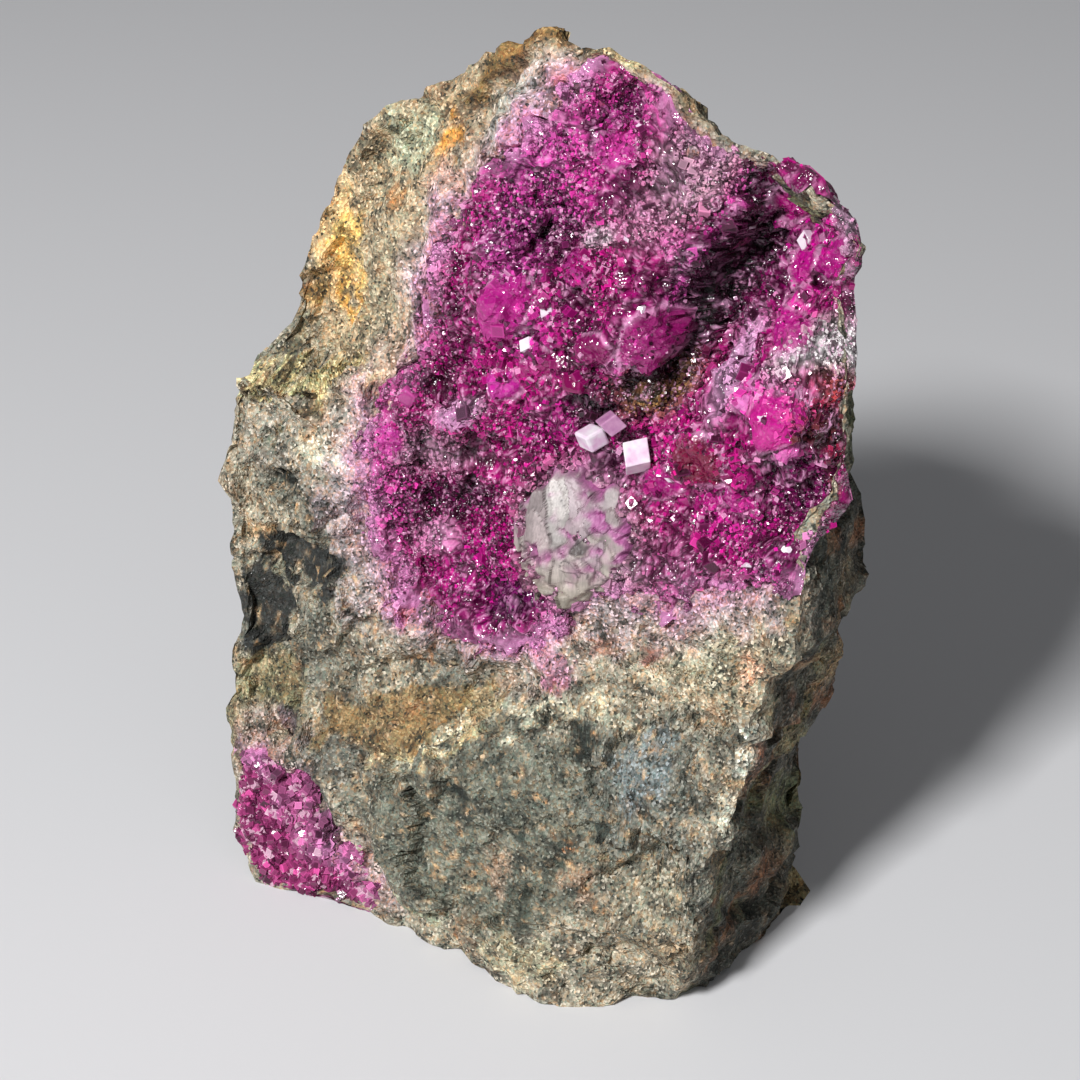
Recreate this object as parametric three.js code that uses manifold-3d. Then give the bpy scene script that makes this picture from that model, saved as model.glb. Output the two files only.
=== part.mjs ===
// Cobaltoan calcite cluster. A hand-size slab of granular host rock stands on its flat base face. Its
// display face leans back and holds a vug lined with a magenta crystal crust, with a second crust on the
// lower left corner, a mass of colourless calcite below the vug and three rhombs that stand free in it.
// Millimetres. x runs along the display face, y runs into the rock and z is up. Places on the display
// face are given as x and height z, and a recess is how far the rock lies behind the leaning face plane.
import * as THREE from 'three';
import { mergeVertices } from 'three/addons/utils/BufferGeometryUtils.js';
import Module from 'manifold-3d';

const wasm = await Module();
wasm.setup();

// Driving dimensions
const origin = { x: 1.24, y: 12.41 }; // middle of the footprint box, which becomes the part's origin
const faceLean = Math.tan(THREE.MathUtils.degToRad(12)); // the display face leans back 12 degrees
const backBase = 24.5; // where the back meets the base, behind the foot of the display face
const backLean = 0.035; // the back leans away by this much for each millimetre of height
const backSwell = 2.2; // the middle of the back stands out by this
const faceMiddle = { x: 3, z: 38 }; // the face is lofted from this point out to its rim
const rockSteps = { around: 76, face: 13, wall: 4, back: 5 }; // grid of the rock's surface
const gap = 0.3; // left between pieces that touch
const inFront = -30; // y of a plane in front of everything
const coarseFacets = { size: 13, height: 1.5, seed: 11 }; // broken facets of the rock
const fineFacets = { size: 5, height: 0.8, seed: 31 };
const crustDepth = 4.0; // thickness of the vug's crystal crust
const cornerDepth = 3.0; // thickness of the crust on the lower left corner

// The rim of the display face, clockwise from the lower left corner: x, z, recess, and how far the
// back edge is drawn in towards the middle behind that point.
const rim = [
  [-19.5, 0, -3.0, 1], [-22.8, 1.6, -1.8, 2], [-25.0, 5.0, 0.5, 4], [-27.0, 10.3, 1.3, 4],
  [-28.0, 16.3, 1.0, 4], [-28.3, 21.0, 0.5, 4], [-28.2, 23.7, 1.0, 4], [-29.7, 27.2, 1.5, 5],
  [-29.5, 31.1, 1.0, 5], [-31.3, 39.9, 1.0, 5], [-30.8, 43.7, 0.5, 5], [-30.2, 47.9, 0.0, 5],
  [-29.4, 49.6, 4.0, 4], [-27.6, 52.9, 4.5, 4], [-26.4, 56.7, 5.0, 4], [-24.6, 63.4, 5.0, 4],
  [-23.0, 67.0, 5.0, 4], [-19.8, 72.7, 5.0, 5], [-13.5, 77.2, 4.5, 6], [-6.2, 81.6, 4.0, 6],
  [-0.3, 85.2, 3.0, 6], [3.9, 84.7, 2.0, 6], [7.9, 84.3, 2.0, 6], [10.6, 83.6, 2.0, 7],
  [14.8, 80.8, 2.5, 7], [16.9, 79.3, 2.5, 8], [22.0, 78.3, 3.5, 9], [26.0, 77.0, 3.0, 10],
  [29.8, 75.7, 2.0, 9], [31.8, 73.6, 1.5, 9], [30.8, 70.0, 2.0, 10], [32.6, 65.8, 1.0, 10],
  [33.4, 62.8, 1.0, 10], [32.6, 60.4, 1.5, 10], [34.5, 52.6, 0.5, 9], [32.2, 48.6, 0.0, 4],
  [31.6, 44.0, 0.0, 1.5], [31.6, 38.4, 0.0, 1], [28.6, 33.1, -0.5, 0.5], [29.5, 27.6, -1.5, 1.5],
  [28.7, 20.9, -2.0, 2], [27.2, 16.5, -2.0, 1], [27.5, 9.3, -1.5, 0.5], [26.2, 4.5, 0.0, -0.5],
  [23.6, 0, 3.0, -6], [20.0, 0, -0.5, -2], [14.2, 0, -3.6, 0], [5.0, 0, -2.5, 0],
  [-3.0, 0, -1.0, 0], [-11.0, 0, -1.5, 0],
];

// Hollows and lumps of the display face: middle x and z, half-lengths along and across, turn in
// degrees, recess in the middle (negative stands out) and how soft the edge is, from 0 to 1.
const relief = [
  [22.0, 67.5, 3.8, 9.0, -14, 5.0, 0.3], // the vug's deep hollow
  [17.2, 59.8, 3.2, 3.0, 0, 2.0, 0.6], // dark pocket at its floor
  [7.6, 71.5, 11.6, 11.0, 0, -2.6, 0.25], // swollen upper lobe
  [5.0, 59.0, 9.0, 7.0, 0, -1.2, 0.6], // middle of the crust
  [8.9, 80.6, 1.6, 2.4, 0, 2.6, 0.7], // small pocket near the top
  [27.6, 71.0, 4.5, 6.0, 20, 1.6, 0.7], // right lobe, dished inside its rim
  [25.8, 58.2, 5.0, 4.2, 0, -2.2, 0.6], // rounded lump right of the vug
  [14.5, 50.5, 8.0, 4.0, -10, 1.6, 0.7], // floor where the free rhombs stand
  [-3.7, 39.5, 7.0, 8.5, 10, 2.4, 0.5], // bowl at the lower left of the crust
  [9.9, 43.0, 6.0, 4.5, 0, -1.0, 0.7], // seat of the colourless calcite
  [-26.0, 29.5, 6.0, 5.5, 0, 1.6, 0.4], // dark chips on the left edge
  [-9.0, 22.0, 19.0, 4.2, 18, 1.8, 0.35], // tan shelf across the face
  [10.5, 14.0, 18.5, 12.5, 12, -3.0, 0.22], // rounded boss above the base
  [-13.5, 6.6, 9.0, 1.8, -28, 2.0, 0.8], // groove beside the corner crust
  [-20.5, 3.2, 6.5, 5.5, -20, 1.2, 0.6], // corner that slopes away to the left
];
const bevel = { x: 14, z: 58, start: 24, slope: 0.38, deepest: 4.6 }; // upper left of the face falls back
const ledge = { left: [-31, 47.6], right: [-11, 51.0], width: 1.2 }; // and ends at this ledge

// Outlines of the two crusts on the face, about a middle point, as x and z.
const vugCrust = {
  middle: [12, 58],
  rings: 7,
  outline: [
    [6.0, 92.0], [10.8, 92.0], [13.4, 81.8], [16.4, 78.6], [18.5, 90.0], [30.0, 90.0], [42.0, 82.0],
    [44.0, 68.0], [44.0, 57.0], [42.0, 48.5], [36.0, 45.0], [30.8, 44.2], [25.7, 43.2], [22.5, 41.2],
    [17.9, 38.2], [13.3, 37.8], [8.6, 36.0], [7.1, 32.0], [3.0, 29.8], [-3.7, 29.5], [-9.4, 31.0],
    [-12.3, 34.8], [-14.2, 41.2], [-14.7, 45.9], [-13.4, 49.9], [-10.6, 52.2], [-9.6, 56.7],
    [-9.5, 63.2], [-7.3, 68.6], [-3.7, 73.8], [1.4, 79.5], [4.4, 84.0],
  ],
};
const cornerCrust = {
  middle: [-19.5, 3.0],
  rings: 3,
  outline: [
    [-34, 11], [-27, 11], [-23.0, 11.2], [-19.2, 11.0], [-18.4, 8.0], [-16.4, 6.0], [-12.5, 4.6],
    [-8.5, 2.6], [-7.0, -1.0], [-7.0, -8], [-34, -8],
  ],
};

// Crystals. Calcite rhombs here are a cube squeezed along a diagonal, with this ratio of its new to
// its old length, which makes the flat rhombs of cobaltoan calcite.
const rhombSqueeze = 0.82;
const vugCrystals = { // count, edge lengths, and the window of x and z that they are scattered over
  count: 70, smallest: 1.6, largest: 3.2, seed: 15, low: [-14, 30], high: [34, 84],
};
const cornerCrystals = {
  count: 14, smallest: 1.2, largest: 2.0, seed: 23, low: [-28, 0], high: [-8, 11],
};
const giants = [ // the biggest crystals of the crust
  { x: -0.5, z: 61.5, stand: 0.2, edge: 5.0, tilt: 28, turn: 40 },
  { x: -0.9, z: 53.6, stand: 0.0, edge: 4.0, tilt: 40, turn: 10 },
  { x: 20.8, z: 52.3, stand: 0.0, edge: 4.6, tilt: 20, turn: 75 },
  { x: 27.5, z: 57.5, stand: 0.0, edge: 4.6, tilt: 30, turn: 130 },
];
const freeRhombs = [ // the three crystals that stand free on the vug's floor
  { name: 'rhomb_left', x: 9.9, z: 52.3, stand: 0.9, edge: 2.1, tilt: 62, turn: 12 },
  { name: 'rhomb_right', x: 13.6, z: 51.3, stand: 1.0, edge: 2.4, tilt: 48, turn: 58 },
  { name: 'rhomb_back', x: 11.9, z: 55.0, stand: 0.9, edge: 1.8, tilt: 30, turn: 25 },
];
const sparBlocks = [ // the colourless calcite, as three grown-together cleavage blocks
  { x: 9.0, z: 44.6, stand: -1.2, edge: 5.6, tilt: 26, turn: 20 },
  { x: 12.8, z: 42.0, stand: -1.2, edge: 5.2, tilt: 34, turn: 65 },
  { x: 9.2, z: 40.2, stand: -1.0, edge: 4.6, tilt: 18, turn: 100 },
];

// Colours and finishes
const rockStone = new THREE.MeshStandardMaterial({ color: 0x8a8676, roughness: 0.9, metalness: 0 });
const magentaCalcite = new THREE.MeshStandardMaterial({ color: 0xb8107e, roughness: 0.22, metalness: 0 });
const clearCalcite = new THREE.MeshStandardMaterial({ color: 0xc9cdc4, roughness: 0.2, metalness: 0 });
const paleRhomb = new THREE.MeshStandardMaterial({ color: 0xe9b4d8, roughness: 0.15, metalness: 0 });

// Noise helpers

// A number from 0 to 1 that depends only on the cell and the seed.
function cellNumber(i, j, k, seed) {
  const wave = Math.sin(i * 127.1 + j * 311.7 + k * 74.7 + seed * 19.19) * 43758.5453;
  return wave - Math.floor(wave);
}

// Broken-rock relief from -1 to 1: every cell of a jittered lattice has its own tilted plane, and the
// planes of near cells blend, so flat facets meet at soft ridges.
function facets(x, y, z, size, seed) {
  const [px, py, pz] = [x / size, y / size, z / size];
  const [ci, cj, ck] = [Math.floor(px), Math.floor(py), Math.floor(pz)];
  let sum = 0;
  let total = 0;
  for (let i = ci - 1; i <= ci + 1; i += 1) {
    for (let j = cj - 1; j <= cj + 1; j += 1) {
      for (let k = ck - 1; k <= ck + 1; k += 1) {
        const [dx, dy, dz] = [
          px - i - cellNumber(i, j, k, seed),
          py - j - cellNumber(i, j, k, seed + 1),
          pz - k - cellNumber(i, j, k, seed + 2),
        ];
        const weight = Math.exp(-9 * (dx * dx + dy * dy + dz * dz));
        const plane = (cellNumber(i, j, k, seed + 3) - 0.5) * 1.2
          + (cellNumber(i, j, k, seed + 4) - 0.5) * 1.6 * dx
          + (cellNumber(i, j, k, seed + 5) - 0.5) * 1.6 * dz;
        sum += weight * plane;
        total += weight;
      }
    }
  }
  return sum / total;
}

// A repeatable stream of numbers from 0 to 1.
function randomStream(seed) {
  let state = seed;
  return () => {
    state = (Math.imul(state, 1664525) + 1013904223) >>> 0;
    return state / 4294967296;
  };
}

// The display face

// One on the feature, zero away from it, with an edge as soft as it asks for.
function featureShare(x, z, [cx, cz, along, across, turn, , soft]) {
  const angle = THREE.MathUtils.degToRad(turn);
  const u = ((x - cx) * Math.cos(angle) + (z - cz) * Math.sin(angle)) / along;
  const v = ((z - cz) * Math.cos(angle) - (x - cx) * Math.sin(angle)) / across;
  return 1 - THREE.MathUtils.smoothstep(Math.hypot(u, v), 1 - soft, 1 + soft);
}

function aboveLedge(x, z) {
  const [x0, z0] = ledge.left;
  const [x1, z1] = ledge.right;
  const ledgeHeight = z0 + (x - x0) * (z1 - z0) / (x1 - x0);
  return THREE.MathUtils.smoothstep(z - ledgeHeight, 0, ledge.width);
}

function faceRecess(x, z) {
  const beyond = Math.hypot(x - bevel.x, z - bevel.z) - bevel.start;
  const fallsBack = THREE.MathUtils.clamp(beyond * bevel.slope, 0, bevel.deepest) * aboveLedge(x, z);
  return relief.reduce((sum, feature) => sum + feature[5] * featureShare(x, z, feature), fallsBack);
}

function faceY(x, z) {
  return z * faceLean + faceRecess(x, z);
}

// The rock

// The rim again as evenly spaced points, each one [x, z, recess, draw-in].
function evenRim(count) {
  const lengths = [0];
  rim.forEach((point, index) => {
    const next = rim[(index + 1) % rim.length];
    lengths.push(lengths[index] + Math.hypot(next[0] - point[0], next[1] - point[1], next[2] - point[2]));
  });
  const points = [];
  for (let n = 0; n < count; n += 1) {
    const along = lengths[rim.length] * n / count;
    const index = lengths.findIndex((length) => length > along) - 1;
    const share = (along - lengths[index]) / (lengths[index + 1] - lengths[index]);
    const next = rim[(index + 1) % rim.length];
    points.push(rim[index].map((value, axis) => value + (next[axis] - value) * share));
  }
  return points;
}

// One closed line of the rock from the middle of the face, over the rim and the wall, to the middle of
// the back, for one rim point.
function rockProfile([rimX, rimZ, rimRecess, drawIn]) {
  const line = [];
  const correction = rimRecess - faceRecess(rimX, rimZ);
  for (let n = 1; n <= rockSteps.face; n += 1) {
    const r = (n / rockSteps.face) ** 0.8;
    const x = faceMiddle.x + (rimX - faceMiddle.x) * r;
    const z = faceMiddle.z + (rimZ - faceMiddle.z) * r;
    line.push([x, faceY(x, z) + correction * r ** 6, z]);
  }
  const reach = Math.hypot(rimX - faceMiddle.x, rimZ - faceMiddle.z);
  const backX = rimX - (rimX - faceMiddle.x) / reach * drawIn;
  const backZ = rimZ > 0 ? rimZ - (rimZ - faceMiddle.z) / reach * drawIn : 0;
  const backY = backBase + backZ * backLean;
  const front = line[line.length - 1];
  for (let n = 1; n <= rockSteps.wall; n += 1) {
    const share = n / rockSteps.wall;
    const swell = rimZ > 0 ? 0.8 * Math.sin(Math.PI * share) : 0;
    line.push([
      front[0] + (backX - front[0]) * share + (rimX - faceMiddle.x) / reach * swell,
      front[1] + (backY - front[1]) * share,
      front[2] + (backZ - front[2]) * share + (rimZ - faceMiddle.z) / reach * swell,
    ]);
  }
  for (let n = 1; n < rockSteps.back; n += 1) {
    const r = 1 - n / rockSteps.back;
    const x = faceMiddle.x + (backX - faceMiddle.x) * r;
    const z = faceMiddle.z + (backZ - faceMiddle.z) * r;
    line.push([x, backBase + z * backLean + backSwell * (1 - r * r), z]);
  }
  return line;
}

// A closed surface from lines of equal length that all run from a first pole in front to a last pole
// behind, in clockwise order as seen from the front.
function closedSurface(lines, firstPole, lastPole) {
  const length = lines[0].length;
  const positions = [...firstPole, ...lastPole, ...lines.flat(2)];
  const at = (line, n) => 2 + (line % lines.length) * length + n;
  const faces = [];
  lines.forEach((line, index) => {
    faces.push(0, at(index + 1, 0), at(index, 0));
    for (let n = 0; n < length - 1; n += 1) {
      faces.push(at(index, n), at(index + 1, n), at(index, n + 1));
      faces.push(at(index + 1, n), at(index + 1, n + 1), at(index, n + 1));
    }
    faces.push(1, at(index, length - 1), at(index + 1, length - 1));
  });
  const geometry = new THREE.BufferGeometry();
  geometry.setAttribute('position', new THREE.Float32BufferAttribute(positions, 3));
  geometry.setIndex(faces);
  return geometry;
}

// Moves each point out or in along the surface normal by two sizes of facets.
function roughen(geometry, coarse, fine) {
  geometry.computeVertexNormals();
  const place = geometry.getAttribute('position');
  const normal = geometry.getAttribute('normal');
  for (let n = 0; n < place.count; n += 1) {
    const [x, y, z] = [place.getX(n), place.getY(n), place.getZ(n)];
    const out = coarse.height * facets(x, y, z, coarse.size, coarse.seed)
      + fine.height * facets(x, y, z, fine.size, fine.seed);
    place.setXYZ(n, x + normal.getX(n) * out, y + normal.getY(n) * out, z + normal.getZ(n) * out);
  }
  geometry.deleteAttribute('normal');
  return geometry;
}

// Solids

function solidFrom(geometry) {
  const plain = geometry.clone();
  plain.deleteAttribute('normal');
  plain.deleteAttribute('uv');
  const merged = mergeVertices(plain, 1e-4);
  return new wasm.Manifold(new wasm.Mesh({
    numProp: 3,
    vertProperties: new Float32Array(merged.getAttribute('position').array),
    triVerts: new Uint32Array(merged.getIndex().array),
  }));
}

function meshFrom(name, solid, material) {
  const data = solid.getMesh();
  const geometry = new THREE.BufferGeometry();
  geometry.setAttribute('position', new THREE.BufferAttribute(new Float32Array(data.vertProperties), 3));
  geometry.setIndex(new THREE.BufferAttribute(new Uint32Array(data.triVerts), 1));
  const mesh = new THREE.Mesh(geometry, material);
  mesh.name = name;
  mesh.position.set(-origin.x, -origin.y, 0);
  return mesh;
}

// Everything above the base plane, as a block that the rock is cut back to.
function aboveBase() {
  const block = new THREE.BoxGeometry(140, 140, 140);
  block.translate(0, 0, 70);
  return solidFrom(block);
}

function rockSurface() {
  const lines = evenRim(rockSteps.around).map(rockProfile);
  const firstPole = [faceMiddle.x, faceY(faceMiddle.x, faceMiddle.z), faceMiddle.z];
  const lastPole = [faceMiddle.x, backBase + faceMiddle.z * backLean + backSwell, faceMiddle.z];
  return roughen(closedSurface(lines, firstPole, lastPole), coarseFacets, fineFacets);
}

// Finds the place on the rock's front for an x and z, with the way that the rock faces there.
function seatFinder(surface) {
  const target = new THREE.Mesh(surface);
  const caster = new THREE.Raycaster();
  return (x, z) => {
    caster.set(new THREE.Vector3(x, inFront, z), new THREE.Vector3(0, 1, 0));
    const [hit] = caster.intersectObject(target);
    return hit && { place: hit.point, out: hit.face.normal };
  };
}

// The space that a crust fills: its floor lies a crust's thickness under the face, thinning to its
// outline, and it opens out past the front of the face. The grown space leaves the gap all round.
function crustSpace({ middle, rings, outline }, depth, grow) {
  const lines = outline.map(([edgeX, edgeZ]) => {
    const spread = 1 + grow / Math.hypot(edgeX - middle[0], edgeZ - middle[1]);
    const line = [];
    for (let n = 1; n <= rings; n += 1) {
      const r = n / rings;
      const x = middle[0] + (edgeX - middle[0]) * r * spread;
      const z = middle[1] + (edgeZ - middle[1]) * r * spread;
      const thickness = depth * Math.sqrt(1 - 0.7 * r ** 4) + grow;
      line.unshift([x, faceY(x, z) + thickness, z]);
    }
    const [x, , z] = line[0];
    line.unshift([x, inFront, z]);
    return line;
  });
  const floorY = faceY(middle[0], middle[1]) + depth + grow;
  return solidFrom(closedSurface(lines, [middle[0], inFront, middle[1]], [middle[0], floorY, middle[1]]));
}

// A calcite rhomb: a cube standing on a corner, squeezed along that diagonal, turned about it and
// tilted away from the way out of the rock. Its middle stands out of its seat by the given amount.
function rhomb({ edge, tilt, turn, stand }, { place, out }) {
  const geometry = new THREE.BoxGeometry(edge, edge, edge);
  const diagonal = new THREE.Vector3(1, 1, 1).normalize();
  const up = new THREE.Vector3(0, 0, 1);
  geometry.applyQuaternion(new THREE.Quaternion().setFromUnitVectors(diagonal, up));
  geometry.scale(1, 1, rhombSqueeze);
  geometry.rotateZ(THREE.MathUtils.degToRad(turn));
  geometry.rotateX(THREE.MathUtils.degToRad(tilt));
  geometry.rotateZ(THREE.MathUtils.degToRad(turn * 2));
  geometry.applyQuaternion(new THREE.Quaternion().setFromUnitVectors(up, out));
  geometry.translate(place.x + out.x * stand, place.y + out.y * stand, place.z + out.z * stand);
  return solidFrom(geometry);
}

// True where the place is inside the crust's outline by the given share of the way.
function insideOutline({ middle, outline }, x, z, share) {
  const testX = middle[0] + (x - middle[0]) / share;
  const testZ = middle[1] + (z - middle[1]) / share;
  let inside = false;
  outline.forEach(([ax, az], index) => {
    const [bx, bz] = outline[(index + 1) % outline.length];
    const crosses = (az > testZ) !== (bz > testZ) && testX < (bx - ax) * (testZ - az) / (bz - az) + ax;
    inside = crosses ? !inside : inside;
  });
  return inside;
}

// Crystals seated at random on the rock's front, inside a crust's outline and inside the rim.
function scatterCrystals(crust, { count, smallest, largest, seed, low, high }, seatAt) {
  const random = randomStream(seed);
  const rimLine = { middle: [faceMiddle.x, faceMiddle.z], outline: rim };
  const crystals = [];
  while (crystals.length < count) {
    const x = low[0] + (high[0] - low[0]) * random();
    const z = low[1] + (high[1] - low[1]) * random();
    const edge = smallest + (largest - smallest) * random() ** 2;
    const tilt = 70 * random();
    const turn = 180 * random();
    const seat = seatAt(x, z);
    if (seat && insideOutline(crust, x, z, 0.93) && insideOutline(rimLine, x, z, 0.94)) {
      crystals.push(rhomb({ edge, tilt, turn, stand: 0.05 * edge }, seat));
    }
  }
  return crystals;
}

function joinAll(solids) {
  return solids.reduce((joined, solid) => joined.add(solid));
}

// The biggest body of a solid, which leaves out chips and crystals that nothing holds.
function wholePiece(solid) {
  return solid.decompose().reduce((big, body) => (body.volume() > big.volume() ? body : big));
}

function buildCluster() {
  const surface = rockSurface();
  const seatAt = seatFinder(surface);
  const aboveFloor = aboveBase();
  const rock = solidFrom(surface).intersect(aboveFloor);
  const seated = (crystal, grow) => rhomb(
    { ...crystal, edge: crystal.edge + 2 * grow }, seatAt(crystal.x, crystal.z));
  const sparSpace = (grow) => joinAll(sparBlocks.map((block) => seated(block, grow)));
  const rhombSpace = joinAll(freeRhombs.map((crystal) => seated(crystal, gap)));

  const vugDruse = joinAll([
    rock,
    ...scatterCrystals(vugCrust, vugCrystals, seatAt),
    ...giants.map((crystal) => seated(crystal, 0)),
  ])
    .intersect(crustSpace(vugCrust, crustDepth, 0))
    .subtract(sparSpace(gap))
    .subtract(rhombSpace);

  const cornerDruse = joinAll([rock, ...scatterCrystals(cornerCrust, cornerCrystals, seatAt)])
    .intersect(crustSpace(cornerCrust, cornerDepth, 0))
    .intersect(aboveFloor);

  const matrix = rock
    .subtract(crustSpace(vugCrust, crustDepth, gap))
    .subtract(crustSpace(cornerCrust, cornerDepth, gap))
    .subtract(sparSpace(gap));

  const cluster = new THREE.Group();
  cluster.add(meshFrom('matrix', wholePiece(matrix), rockStone));
  cluster.add(meshFrom('vug_druse', wholePiece(vugDruse), magentaCalcite));
  cluster.add(meshFrom('corner_druse', wholePiece(cornerDruse), magentaCalcite));
  cluster.add(meshFrom('spar', sparSpace(0), clearCalcite));
  freeRhombs.forEach((crystal) => {
    cluster.add(meshFrom(crystal.name, seated(crystal, 0), paleRhomb));
  });
  return cluster;
}

export default buildCluster();
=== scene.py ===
import functools

import bpy
import numpy as np
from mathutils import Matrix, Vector


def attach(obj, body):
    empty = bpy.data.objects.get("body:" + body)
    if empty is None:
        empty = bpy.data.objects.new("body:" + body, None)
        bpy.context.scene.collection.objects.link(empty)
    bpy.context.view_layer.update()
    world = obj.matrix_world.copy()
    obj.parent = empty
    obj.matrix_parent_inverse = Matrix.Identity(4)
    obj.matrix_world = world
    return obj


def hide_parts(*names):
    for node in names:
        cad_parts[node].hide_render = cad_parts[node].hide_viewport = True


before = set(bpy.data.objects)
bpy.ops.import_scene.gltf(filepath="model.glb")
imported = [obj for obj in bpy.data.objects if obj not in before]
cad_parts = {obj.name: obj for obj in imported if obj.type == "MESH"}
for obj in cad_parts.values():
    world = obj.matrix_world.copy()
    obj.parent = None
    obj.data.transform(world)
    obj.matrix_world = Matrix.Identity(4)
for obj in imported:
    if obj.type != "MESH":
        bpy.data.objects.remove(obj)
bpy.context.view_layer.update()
print("frame loaded:", sorted(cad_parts))

mm = 0.001


def directionOf(azimuth, elevation):
    # way to a place round the object: azimuth from the display face's front, to the right, in degrees
    turn, lift = np.radians(azimuth), np.radians(elevation)
    return Vector((np.sin(turn) * np.cos(lift), -np.cos(turn) * np.cos(lift), np.sin(lift)))


# camera, on the right of the display face and looking down on it; millimetres and degrees
shot = {"target": (4.49, -3.41, 41.71), "azimuth": 32, "elevation": 30, "distance": 232, "lens": 85}
towards = directionOf(shot["azimuth"], shot["elevation"])
cameraData = bpy.data.cameras.new("camera")
cameraData.lens = shot["lens"]
cameraData.sensor_width = 36
cameraData.clip_start = 0.01
cameraData.clip_end = 20
camera = bpy.data.objects.new("camera", cameraData)
bpy.context.scene.collection.objects.link(camera)
camera.location = (Vector(shot["target"]) + towards * shot["distance"]) * mm
camera.rotation_mode = "QUATERNION"
camera.rotation_quaternion = (-towards).to_track_quat("-Z", "Y")
bpy.context.scene.camera = camera


def linear(code):
    # sRGB hex to linear: c / 12.92 below 0.04045, else ((c + 0.055) / 1.055) ^ 2.4
    c = np.array([int(code[n:n + 2], 16) for n in (1, 3, 5)]) / 255
    return np.where(c <= 0.04045, c / 12.92, ((c + 0.055) / 1.055) ** 2.4)


def smooth(value, low, high):
    # 3 s^2 - 2 s^3, with s the share of the way from low to high
    s = np.clip((value - low) / (high - low), 0, 1)
    return s * s * (3 - 2 * s)


def unit(ways):
    return ways / np.maximum(np.linalg.norm(ways, axis=-1, keepdims=True), 1e-9)


def cellNumber(i, j, k, seed):
    # the fraction that is left of a steep sine, from 0 to 1
    wave = np.sin(i * 127.1 + j * 311.7 + k * 74.7 + seed * 19.19) * 43758.5453
    return wave - np.floor(wave)


def nearCells(points, seed):
    # for each of the 27 near cells of a jittered lattice: six numbers of it, and the offset from its middle
    for step in np.ndindex(3, 3, 3):
        c = np.floor(points) + np.array(step) - 1
        numbers = [cellNumber(c[:, 0], c[:, 1], c[:, 2], seed + n) for n in range(6)]
        yield numbers, points - c - np.stack(numbers[:3], -1)


def facets(points, size, seed, crisp=9):
    # sum(w * plane) / sum(w) over the near cells, with w = exp(-crisp * d^2): each cell has its own
    # tilted plane, and a higher crisp makes sharper ridges between them
    top, bottom = np.zeros(len(points)), np.full(len(points), 1e-9)
    for number, d in nearCells(points / size, seed):
        weight = np.exp(-crisp * (d ** 2).sum(-1))
        plane = (number[3] - 0.5) * 1.2 + (number[4] - 0.5) * 1.6 * d[:, 0] + (number[5] - 0.5) * 1.6 * d[:, 2]
        top += weight * plane
        bottom += weight
    return top / bottom


def facetSum(points, layers):
    # layers of facets: size, height, seed, crispness
    return sum(height * facets(points, size, seed, crisp) for size, height, seed, crisp in layers)


def featureShare(x, z, feature):
    # 1 - smooth(sqrt(u^2 + v^2)), with u and v the place along and across the turned ellipse
    cx, cz, along, across, angle = feature[:5]
    soft = feature[-1]
    c, s = np.cos(np.radians(angle)), np.sin(np.radians(angle))
    u = ((x - cx) * c + (z - cz) * s) / along
    v = ((z - cz) * c - (x - cx) * s) / across
    return 1 - smooth(np.hypot(u, v), 1 - soft, 1 + soft)


def insideDistance(x, z, outline):
    # distance to the nearest side of the outline, positive inside it and negative outside
    ends = np.array(outline, float)
    nearest, inside = np.full(x.shape, 1e9), np.zeros(x.shape, bool)
    for (ax, az), (bx, bz) in zip(ends, np.roll(ends, -1, 0)):
        share = np.clip(((x - ax) * (bx - ax) + (z - az) * (bz - az)) / ((bx - ax) ** 2 + (bz - az) ** 2), 0, 1)
        nearest = np.minimum(nearest, np.hypot(x - ax - (bx - ax) * share, z - az - (bz - az) * share))
        if az != bz:
            inside = inside ^ (((az > z) != (bz > z)) & (x < (bx - ax) * (z - az) / (bz - az) + ax))
    return np.where(inside, nearest, -nearest)


def linkPiece(name, mesh, material, nodes=()):
    piece = bpy.data.objects.new(name, mesh)
    bpy.context.scene.collection.objects.link(piece)
    mesh.materials.clear()
    mesh.materials.append(material)
    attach(piece, "root")
    if nodes:
        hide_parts(*nodes)
    return piece


def meshOf(name, points, faces, colours=None, faceMap=None, rounded=False):
    # points in slab millimetres, faces as one array with the same number of corners in each row
    mesh = bpy.data.meshes.new(name)
    placed = (points - np.array([*slab["origin"], 0])) * mm
    mesh.vertices.add(len(points))
    mesh.vertices.foreach_set("co", placed.astype(np.float32).ravel())
    mesh.loops.add(faces.size)
    mesh.loops.foreach_set("vertex_index", faces.astype(np.int32).ravel())
    mesh.polygons.add(len(faces))
    mesh.polygons.foreach_set("loop_start", (np.arange(len(faces)) * faces.shape[1]).astype(np.int32))
    mesh.polygons.foreach_set("use_smooth", np.full(len(faces), rounded))
    mesh.update(calc_edges=True)
    if colours is not None:
        layer = mesh.color_attributes.new("tone", "FLOAT_COLOR", "POINT")
        fourth = np.ones((len(colours), 4 - colours.shape[1]))
        layer.data.foreach_set("color", np.hstack([colours, fourth]).astype(np.float32).ravel())
    if faceMap is not None:
        mesh.uv_layers.new(name="face").data.foreach_set("uv", faceMap.astype(np.float32).ravel())
    mesh.validate()
    return mesh


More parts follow.
